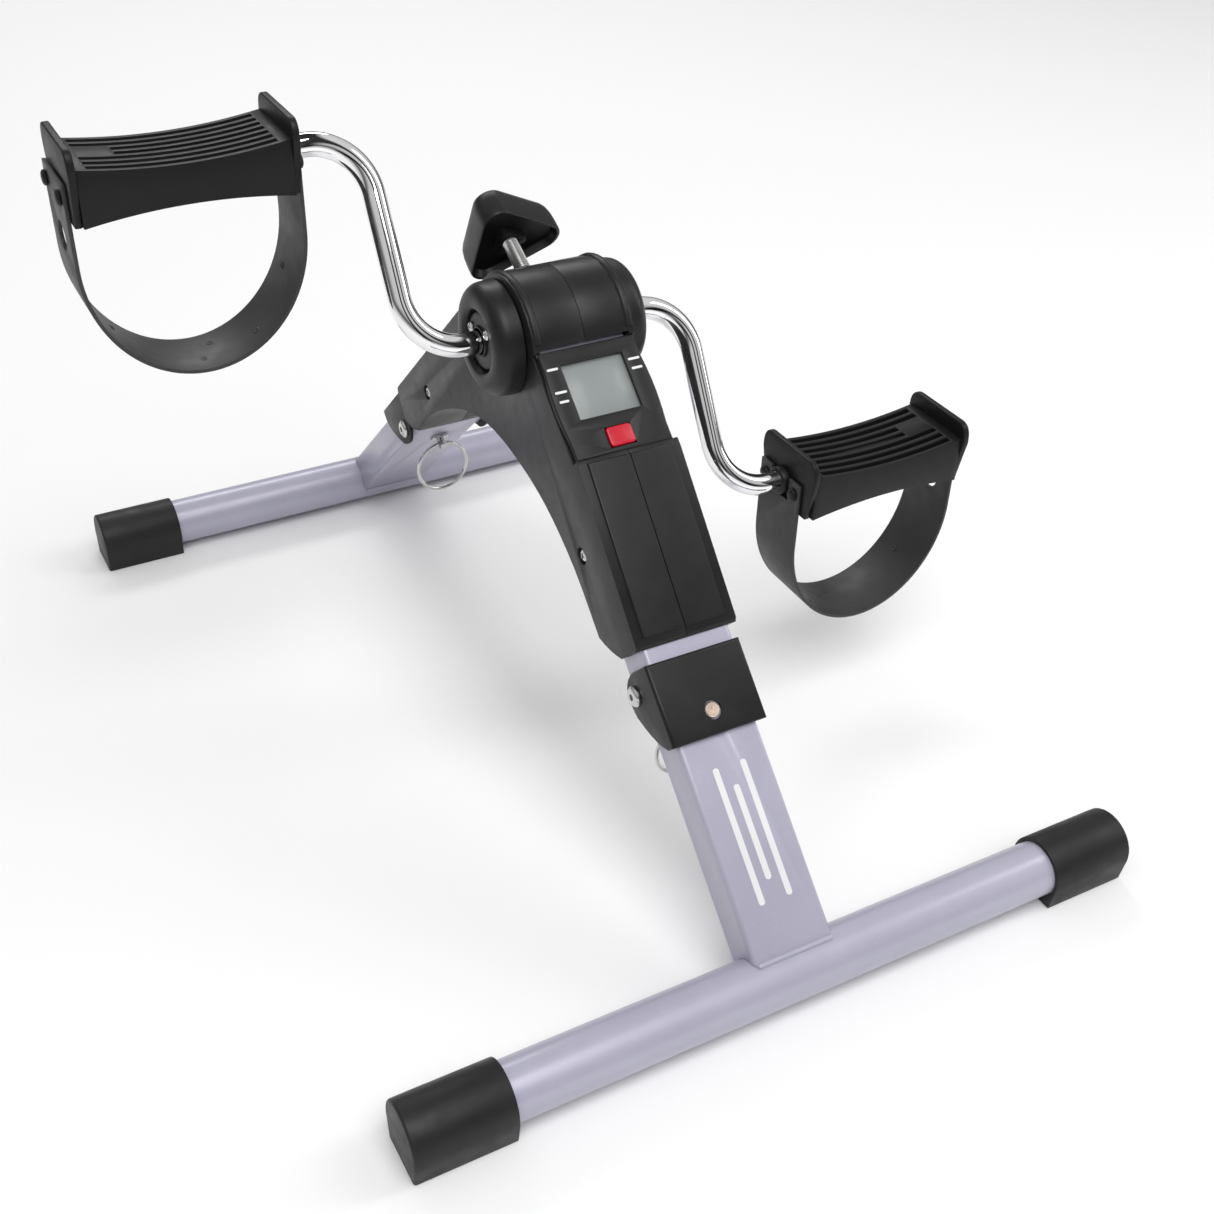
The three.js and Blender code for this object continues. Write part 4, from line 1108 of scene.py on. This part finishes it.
@dataclass
class TensionKnob:
    """The threaded stud and its three-cornered knob."""

    start: float = 0.053
    height: float = 0.019
    corner: float = 0.019
    rounding: float = 0.009
    stud: float = 0.004
    pitch: float = 0.00125
    stud_low: float = 0.0199
    sides: int = 96

    def matrix(self) -> Matrix:
        """From the stud's own axis on Z to the object's."""
        return at(0, CRANK_Y, CRANK_Z) @ Matrix.Rotation(STUD_ANGLE - math.pi / 2, 4, "X")

    def reach(self, angle: float) -> float:
        """The knob's radius in one direction: round corners joined by flat sides."""
        third, sixty = 2 * math.pi / 3, math.pi / 3
        near = abs((angle + third / 2) % third - third / 2)
        tangent = math.atan2(self.rounding * math.sin(sixty),
                             self.corner + self.rounding * math.cos(sixty))
        if near > tangent:
            flat = self.corner * math.cos(sixty) + self.rounding
            return flat / math.cos(sixty - near)
        across = self.corner * math.sin(near)
        return self.corner * math.cos(near) + math.sqrt(self.rounding**2 - across**2)

    def knob(self) -> bpy.types.Object:
        """Builds the knob: a hollow underside with a boss, flared sides, a soft top."""
        deselect()
        bpy.ops.mesh.primitive_circle_add(vertices=self.sides, radius=0.02)
        piece = bpy.context.object
        piece.name = "tension_knob_moulding"
        with editing(piece, Pick.EDGE):
            mesh = bmesh.from_edit_mesh(piece.data)
            for vert in mesh.verts:
                angle = math.atan2(vert.co.y, vert.co.x)
                reach = self.reach(angle) * 0.975
                vert.co = Vector((reach * math.cos(angle), reach * math.sin(angle), self.start))
            bmesh.update_edit_mesh(piece.data)
            scale = 0.975
            rings = (
                (0.0004, 0.992), (0.0014, 1.0), (0.006, 0.998), (0.011, 0.985), (0.0145, 0.955),
                (0.0168, 0.905), (0.0182, 0.83), (0.0188, 0.73), (self.height, 0.55),
            )
            self.rings(rings, scale)
            bpy.ops.mesh.edge_face_add()
            choose(piece, Pick.EDGE, lambda edge: edge.is_boundary)
            self.rings(((0.0001, 0.93), (0.0014, 0.9), (0.0038, 0.86), (0.0044, 0.6),
                        (0.0044, 0.34), (0.001, 0.32), (0.0008, 0.3)), scale)
            bpy.ops.mesh.edge_face_add()
            bpy.ops.mesh.select_all(action="SELECT")
            bpy.ops.mesh.normals_make_consistent(inside=False)
        hole = round_bar("hole", self.stud + 0.0003, self.start - 0.002, self.start + 0.0123, 40)
        cut(piece, hole)
        place(piece, self.matrix())
        return finished(piece, PLASTIC, "tension_knob", ["tension_knob"], 50)

    def rings(self, rings: Sequence[tuple[float, float]], scale: float) -> None:
        """Draws the selected ring through heights and sizes.

        Args:
            rings: each ring's height above the knob's start and its size.
            scale: the size of the ring that is selected first.
        """
        height = 0.0
        for rise, size in rings:
            bpy.ops.mesh.extrude_region_move(
                TRANSFORM_OT_translate={"value": (0, 0, rise - height)})
            ratio = size / scale
            bpy.ops.transform.resize(
                value=(ratio, ratio, 1), center_override=(0, 0, self.start + rise))
            height, scale = rise, size

    def thread(self) -> bpy.types.Object:
        """Builds the stud with its thread."""
        low, high = self.stud_low, self.start + 0.0119
        profile = [(low, 0.0), (low, self.stud - 0.0006)]
        height = low + 0.0006
        while height + self.pitch < high:
            profile += [(height, self.stud - 0.0005), (height + self.pitch / 2, self.stud)]
            height += self.pitch
        profile += [(high, self.stud - 0.0006), (high, 0.0)]
        piece = turned("tension_stud_thread", profile, 40)
        place(piece, self.matrix())
        return finished(piece, STEEL, "tension_screw", ["tension_stud"], 25)

    def build(self) -> None:
        """Builds stud and knob."""
        self.thread()
        self.knob()


@dataclass
class Display:
    """The display plate, its cell, window, wording bars and button."""

    width: float = 0.0338
    length: float = 0.0292
    offset: float = 0.0059
    button_x: float = 0.0132
    button_y: float = 0.0098
    button_offset: float = -0.0201

    def matrix(self) -> Matrix:
        """From the display's axes to the object's."""
        return Housing().display_frame()

    def case(self) -> bpy.types.Object:
        """Builds the case with softly broken edges."""
        piece = refined("display_case", "display_case_moulding")
        inverse = self.matrix().inverted()

        def rim(edge: bmesh.types.BMEdge) -> bool:
            """Whether an edge runs round the plate's face."""
            ends = [inverse @ vert.co for vert in edge.verts]
            outer = all(abs(co.x) > 0.024 or abs(co.y) > 0.0275 for co in ends)
            return all(abs(co.z) < NEAR for co in ends) and outer and edge.calc_face_angle(0) > 0.5

        round_chosen(piece, rim, 0.0009, 3)
        round_edges(piece, 0.00025, 2, 50)
        return finished(piece, PLASTIC, "frame", ["display_case"], 40)

    def ledge(self) -> bpy.types.Object:
        """Builds the ledge of the housing that the display's top edge lies on."""
        piece = block("display_ledge", (-0.0262, 0.0262, -0.0036), (0.0262, 0.02805, -0.0008))
        round_edges(piece, 0.0002, 2, 40)
        place(piece, self.matrix())
        return finished(piece, SHELL, "frame")

    def bezel(self) -> bpy.types.Object:
        """Builds the walls that slope down to the cell, near-black as painted shade in the recess.
        """
        half_x, half_y, drop = self.width / 2, self.length / 2, 0.0017
        piece = block("display_recess_painted_shade", (-half_x, -half_y, -drop), (half_x, half_y, -0.0001))
        with editing(piece, Pick.FACE):
            choose(piece, Pick.FACE, lambda face: abs(face.normal.z) > 0.9)
            bpy.ops.mesh.inset(thickness=0.0003, use_individual=True)
            bpy.ops.mesh.bridge_edge_loops()
        place(piece, self.matrix() @ at(0, self.offset, 0))
        # The recess walls take the painted shade finish.
        return finished(piece, SHADOW, "frame", (), 30)

    def panes(self) -> None:
        """Builds the cell and the window over it."""
        half_x, half_y = self.width / 2 + 0.0005, self.length / 2 + 0.0005
        for name, layer, finish, slot in (
            ("display_lens", (-0.003, -0.00195), WINDOW, "lens"),
            ("lcd_panel", (-0.006, -0.0033), LCD, "lcd"),
        ):
            piece = block(f"{name}_pane", (-half_x, -half_y, layer[0]), (half_x, half_y, layer[1]))
            round_edges(piece, 0.0002, 2, 40)
            place(piece, self.matrix() @ at(0, self.offset, 0))
            finished(piece, finish, "frame", [name])

    def marks(self) -> None:
        """Builds plain bars where the display's wording stands."""
        spots = (
            (-0.0212, 0.0128, 0.0058), (-0.0212, 0.001, 0.0062), (-0.0212, -0.0038, 0.005),
            (0.0212, 0.0096, 0.0062), (0.0212, 0.0048, 0.0058),
        )
        for number, (x, y, length) in enumerate(spots, 1):
            half = length / 2
            piece = block(f"display_mark_{number}", (x - half, y - 0.0006, 0.00002),
                          (x + half, y + 0.0006, 0.00012))
            round_chosen(piece, rises, 0.00055, 4)
            place(piece, self.matrix() @ at(0, self.offset, 0))
            finished(piece, WHITE_INK, "frame")

    def button(self) -> bpy.types.Object:
        """Builds the red button's rounded key."""
        half_x, half_y = self.button_x / 2, self.button_y / 2
        piece = block("reset_button_key", (-half_x, -half_y, -0.0045), (half_x, half_y, 0.001))
        round_chosen(piece, lambda edge: abs(edge.verts[0].co.z - edge.verts[1].co.z) > NEAR,
                     0.0016, 5)
        round_chosen(piece, lambda edge: all(v.co.z > 0.0009 for v in edge.verts), 0.0006, 3)
        place(piece, self.matrix() @ at(0, self.button_offset, 0))
        return finished(piece, RED, "reset_button", ["reset_button"], 40)

    def build(self) -> None:
        """Builds the display."""
        self.case()
        self.ledge()
        self.bezel()
        self.panes()
        self.marks()
        self.button()


@dataclass
class Pedals:
    """The two pedals: slotted treads, end plates, pegs, bushes and straps."""

    inner: float = 0.1113
    outer: float = 0.2124
    width: float = 0.0442
    height: float = 0.0271
    shift: float = -0.0032
    plate: float = 0.0036
    rise: float = 0.008
    dip: float = 0.0045
    slots: int = 7
    rib: float = 0.0026
    bush: float = 0.0069
    strap_width: float = 0.036
    strap_thickness: float = 0.0018
    strap_drop: float = 0.094
    strap_top: float = 0.005
    strap_straight: float = 0.034

    def tread(self) -> bpy.types.Object:
        """Builds the tread: a block hollow along its length, slotted from above."""
        low, high = self.inner + self.plate - 0.0002, self.outer - self.plate + 0.0002
        half_y, half_z = self.width / 2, self.height / 2
        piece = block("tread", (low, -half_y, -half_z), (high, half_y, half_z))
        with editing(piece, Pick.EDGE):
            choose(piece, Pick.EDGE,
                   lambda edge: abs(edge.verts[0].co.x - edge.verts[1].co.x) > 0.05)
            bpy.ops.mesh.subdivide(number_cuts=23)
            mesh = bmesh.from_edit_mesh(piece.data)
            middle, reach = (self.inner + self.outer) / 2, (self.outer - self.inner) / 2
            for vert in mesh.verts:
                share = 1 - ((vert.co.x - middle) / reach) ** 2
                vert.co.z -= math.copysign(self.dip * share, vert.co.z)
            bmesh.update_edit_mesh(piece.data)
        pitch = (self.width - self.rib) / self.slots
        for slot in range(self.slots):
            y0 = -half_y + self.rib + slot * pitch
            y1 = y0 + pitch - self.rib
            far = high - (0.0215 if slot in (3, 4) else 0.0055)
            cut(piece, block("slot", (low + 0.0055, y0, 0.0022), (far, y1, 0.03)))
            cut(piece, block("slot", (low + 0.0055, y0, -0.03), (high - 0.0055, y1, -0.0022)))
        return piece

    def core(self) -> bpy.types.Object:
        """Builds the tube in the tread that holds the bush."""
        end = self.outer - self.plate - 0.001
        piece = turned("core", [
            (self.inner + 0.001, self.bush + 0.0003), (self.inner + 0.001, self.bush + 0.0014),
            (end + 0.0005, self.bush + 0.0014), (end + 0.0005, 0.0), (end, 0.0),
            (end, self.bush + 0.0003),
        ], 40)
        return place(piece, TO_X)

    def body(self) -> bpy.types.Object:
        """Builds the tread with a bore for the bush."""
        tread = self.tread()
        place(tread, at(0, self.shift, 0))
        bore = place(round_bar("bore", self.bush + 0.0004, self.inner - 0.01,
                               self.outer - self.plate - 0.001, 40), TO_X)
        cut(tread, bore)
        round_edges(tread, 0.0003, 2, 50)
        return tread

    def plate_outline(self) -> list[Vector]:
        """The end plate's outline: wide and rounded above, narrow below."""
        half, top = self.width / 2, self.height / 2
        peak = top + self.rise
        points = [(-half + 0.003, -top), (half - 0.003, -top), (half + 0.0022, top - 0.003)]
        points += curve_through(points[-1], (half + 0.0026, peak), (half - 0.005, peak), 8)
        points.append((-half + 0.005, peak))
        points += curve_through(
            points[-1], (-half - 0.0026, peak), (-half - 0.0022, top - 0.003), 8)
        return [Vector((0, y + self.shift, z)) for y, z in points]

    def end_plate(self, start: float) -> bpy.types.Object:
        """Builds one end plate with softly rounded edges."""
        piece = slab("plate", self.plate_outline(), Vector((self.plate, 0, 0)))
        place(piece, at(start, 0, 0))
        return round_edges(piece, 0.0009, 3, 30)

    def peg(self, face: float, way: int, y: float) -> bpy.types.Object:
        """Builds one round-headed strap peg on an end plate."""
        neck = self.strap_thickness + 0.0006
        piece = turned("peg", [
            (-0.0005, 0.0), (-0.0005, 0.0024), (neck, 0.0024), (neck, 0.0034),
            (neck + 0.0005, 0.0036),
            (neck + 0.0012, 0.0033), (neck + 0.0017, 0.0026), (neck + 0.00195, 0.0014),
            (neck + 0.002, 0.0),
        ], 28)
        return place(piece, at(face, y, -0.002) @ to_side(way))

    def bush_collar(self) -> bpy.types.Object:
        """Builds the bush with the collar that shows around the rod."""
        start, end = self.inner - 0.0045, self.outer - self.plate - 0.004
        piece = turned("bush", [
            (start, 0.00595), (start, 0.0066), (start + 0.0004, 0.0073), (start + 0.0011, 0.0076),
            (self.inner - 0.0003, 0.0076), (self.inner - 0.0003, self.bush), (end, self.bush),
            (end, 0.00595),
        ], 40)
        return place(piece, TO_X)

    def strap(self) -> bpy.types.Object:
        """Builds the strap: a band hanging in a U, cut for the bush and the grip hole."""
        half_thick = self.strap_thickness / 2
        near = self.inner - 0.0003 - half_thick
        far = self.outer + 0.0003 + half_thick
        middle, reach = (near + far) / 2, (far - near) / 2
        sag = self.strap_drop - self.strap_straight - half_thick
        points = [Vector((near, 0, self.strap_top))]
        for step in range(57):
            angle = math.pi + math.pi * step / 56
            points.append(Vector((middle + reach * math.cos(angle), 0,
                                  -self.strap_straight + sag * math.sin(angle))))
        points.append(Vector((far, 0, self.strap_top)))
        piece = chain("strap", points)
        with editing(piece, Pick.EDGE):
            bpy.ops.transform.translate(value=(0, -self.strap_width / 2, 0))
            bpy.ops.mesh.extrude_region_move(
                TRANSFORM_OT_translate={"value": (0, self.strap_width, 0)})
        apply_modifier(piece, "SOLIDIFY", thickness=self.strap_thickness, offset=0)
        close_up(piece)
        room = 0.0082
        cut(piece, block("room", (0.08, -room, -room), (self.inner + 0.005, room, 0.03)))
        grip = round_bar("grip", 0.007, self.outer - 0.01, self.outer + 0.02, 40)
        cut(piece, place(grip, at(0, 0, -0.024) @ TO_X))
        for y in (-0.013, 0.013):
            for start in (self.inner - 0.02, self.outer - 0.01):
                hole = round_bar("hole", 0.0027, start, start + 0.03, 20)
                cut(piece, place(hole, at(0, y, -0.002) @ TO_X))
        return round_edges(piece, 0.0003, 2, 60)

    def dimples(self) -> list[bpy.types.Object]:
        """Builds the small moulded dots along the inside of the strap."""
        middle = (self.inner + self.outer) / 2
        reach = (self.outer - self.inner) / 2 + 0.0001
        sag = self.strap_drop - self.strap_straight - self.strap_thickness
        dots = []
        for degrees, y in ((205, 0.006), (238, -0.006), (262, 0.007), (270, -0.007), (318, 0.004)):
            angle = math.radians(degrees)
            spot = Vector((middle + reach * math.cos(angle), y,
                           -self.strap_straight + sag * math.sin(angle)))
            inward = Vector((-math.cos(angle) * sag, 0, -math.sin(angle) * reach)).normalized()
            dot = turned("dot", [
                (-0.0004, 0.0), (-0.0004, 0.0019), (0.0001, 0.0018), (0.0003, 0.0014),
                (0.0003, 0.001), (0.00005, 0.0007), (0.0, 0.0),
            ], 24)
            place(dot, Matrix.Translation(spot) @ facing(inward))
            dots.append(dot)
        return dots

    def mount(self, piece: bpy.types.Object, part: str, finish: Finish,
              nodes: Sequence[str] = ()) -> None:
        """Places a pedal piece on both sides.

        Args:
            piece: the piece about its own axis, for the right side.
            part: the piece's plain name.
            finish: its finish.
            nodes: the CAD nodes it stands for, without their side.
        """
        cranks = Cranks()
        for word, side in SIDES:
            shift = at(0, CRANK_Y - side * cranks.throw_y, CRANK_Z - side * cranks.throw_z)
            matrix = shift @ (MIRROR if side < 0 else Matrix.Identity(4))
            twin = copied(piece, f"{word}_{part}", matrix)
            finished(twin, finish, f"{word}_pedal", [f"{word}_{node}" for node in nodes], 40)
        bpy.data.objects.remove(piece)

    def build(self) -> None:
        """Builds both pedals."""
        self.mount(self.body(), "pedal_tread", PEDAL, ["pedal_body"])
        self.mount(self.core(), "pedal_core", PEDAL)
        self.mount(self.end_plate(self.inner), "pedal_inner_plate", PEDAL)
        self.mount(self.end_plate(self.outer - self.plate), "pedal_outer_plate", PEDAL)
        for word, face, way in (("inner", self.inner, -1), ("outer", self.outer, 1)):
            for number, y in enumerate((-0.013, 0.013), 1):
                self.mount(self.peg(face, way, y), f"{word}_peg_{number}", PEDAL)
        self.mount(self.bush_collar(), "pedal_collar", PLASTIC, ["pedal_bush"])
        self.mount(self.strap(), "strap_band", STRAP, ["foot_strap"])
        for number, dot in enumerate(self.dimples(), 1):
            self.mount(dot, f"strap_dot_{number}", STRAP)


@dataclass
class HiddenParts:
    """The pieces inside the hub and the display, kept as the CAD has them."""

    def build(self) -> None:
        """Dresses each inner node."""
        dressing = {
            PAINT: ("hub_shell",),
            STEEL: ("brake_drum", "stud_nut", "battery", "sensor_magnet"),
            NYLON: ("left_bearing", "right_bearing"),
            FELT: ("brake_pad",),
            BOARD: ("circuit_board",),
            PLASTIC: ("reed_sensor",),
        }
        for finish, nodes in dressing.items():
            for node in nodes:
                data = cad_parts[node].data
                data.materials.clear()
                data.materials.append(finish.material())
                log.info("%s: kept", node)


# ------------------------------------------------------------ floor and light


@dataclass
class Studio:
    """Floor, lights and camera."""

    azimuth: float = math.radians(-29.45)
    elevation: float = math.radians(35.89)
    roll: float = math.radians(1.81)
    distance: float = 1.1167
    target: tuple[float, float, float] = (0.12342, 0.15298, -0.07645)
    lens: float = 46.57
    surround: float = 0.75
    sky: tuple[tuple[float, float], ...] = (
        (0.0, 0.9), (0.05, 0.16), (0.2, 0.2), (0.38, 0.75), (1.0, 1.0))
    flags: tuple[tuple[float, float], ...] = (
        (0.0, 1.0), (0.34, 1.0), (0.38, 0.04), (0.45, 0.04), (0.49, 1.0), (0.6, 1.0),
        (0.64, 0.04), (0.7, 0.04), (0.74, 1.0))
    lit_height: float = 0.15

    def camera(self) -> None:
        """Places the camera."""
        flat = math.cos(self.elevation)
        back = Vector((math.sin(self.azimuth) * flat, -math.cos(self.azimuth) * flat,
                       math.sin(self.elevation)))
        right = Vector((math.cos(self.azimuth), math.sin(self.azimuth), 0))
        up = back.cross(right)
        tilted = right * math.cos(self.roll) + up * math.sin(self.roll)
        upright = up * math.cos(self.roll) - right * math.sin(self.roll)
        data = bpy.data.cameras.new("camera")
        data.lens = self.lens
        data.sensor_width = 36
        data.clip_start = 0.01
        camera = bpy.data.objects.new("camera", data)
        bpy.context.scene.collection.objects.link(camera)
        turn = Matrix((tilted, upright, back)).transposed().to_4x4()
        camera.matrix_world = Matrix.Translation(Vector(self.target) + back * self.distance) @ turn
        bpy.context.scene.camera = camera

    def floor(self) -> None:
        """Lays the pale floor."""
        deselect()
        bpy.ops.mesh.primitive_plane_add(size=30, location=(0, 0, -0.0003))
        floor = bpy.context.object
        floor.name = "floor"
        floor.data.materials.append(Ground().material())

    def light(
        self, name: str, place_at: Sequence[float], size: tuple[float, float], power: float
    ) -> None:
        """Hangs one soft rectangular light that faces the object.

        Args:
            name: the light's name.
            place_at: where it hangs.
            size: its two sides.
            power: its power in watts.
        """
        data = bpy.data.lights.new(name, "AREA")
        data.shape = "RECTANGLE"
        data.size, data.size_y = size
        data.energy = power
        lamp = bpy.data.objects.new(name, data)
        bpy.context.scene.collection.objects.link(lamp)
        away = Vector(place_at) - Vector((0, 0, self.lit_height))
        lamp.matrix_world = Matrix.Translation(place_at) @ facing(away)

    def world(self) -> None:
        """Sets a pale surround, dark at the horizon and in two upright bands."""
        world = bpy.data.worlds.new("studio")
        bpy.context.scene.world = world
        world.use_nodes = True
        tree = world.node_tree
        ground = tree.nodes["Background"]
        ground.inputs["Strength"].default_value = self.surround
        place_at = tree.nodes.new("ShaderNodeTexCoord").outputs["Generated"]
        split = tree.nodes.new("ShaderNodeSeparateXYZ")
        tree.links.new(place_at, split.inputs["Vector"])
        sky = grade(tree, split.outputs["Z"], [(spot, [shade] * 3) for spot, shade in self.sky])
        across = spread(tree, split.outputs["X"], (-1, 1), (0, 1))
        flags = grade(tree, across, [(spot, [shade] * 3) for spot, shade in self.flags])
        both = tree.nodes.new("ShaderNodeVectorMath")
        both.operation = "MULTIPLY"
        tree.links.new(sky, both.inputs[0])
        tree.links.new(flags, both.inputs[1])
        tree.links.new(both.outputs["Vector"], ground.inputs["Color"])

    def build(self) -> None:
        """Sets up the studio."""
        self.camera()
        self.floor()
        self.world()
        self.light("key_light", (-0.2, -1.1, 2.0), (1.4, 1.4), 30)
        self.light("fill_light", (1.8, -0.6, 1.3), (0.5, 1.6), 12)
        self.light("back_light", (0.3, 1.9, 1.6), (1.8, 0.5), 16)
        bpy.context.scene.view_settings.view_transform = "Standard"


def main() -> None:
    """Builds the studio and every sub-assembly in order."""
    logging.basicConfig(level=logging.INFO, format="%(name)s %(message)s")
    Studio().build()
    for assembly in (
        FloorBars(), Legs(), Hinges(), Housing(), Screws(), HubEnds(), Cranks(),
        TensionKnob(), Display(), Pedals(), HiddenParts(),
    ):
        log.info("building %s", type(assembly).__name__)
        assembly.build()
    deselect()


if __name__ == "__main__":
    main()
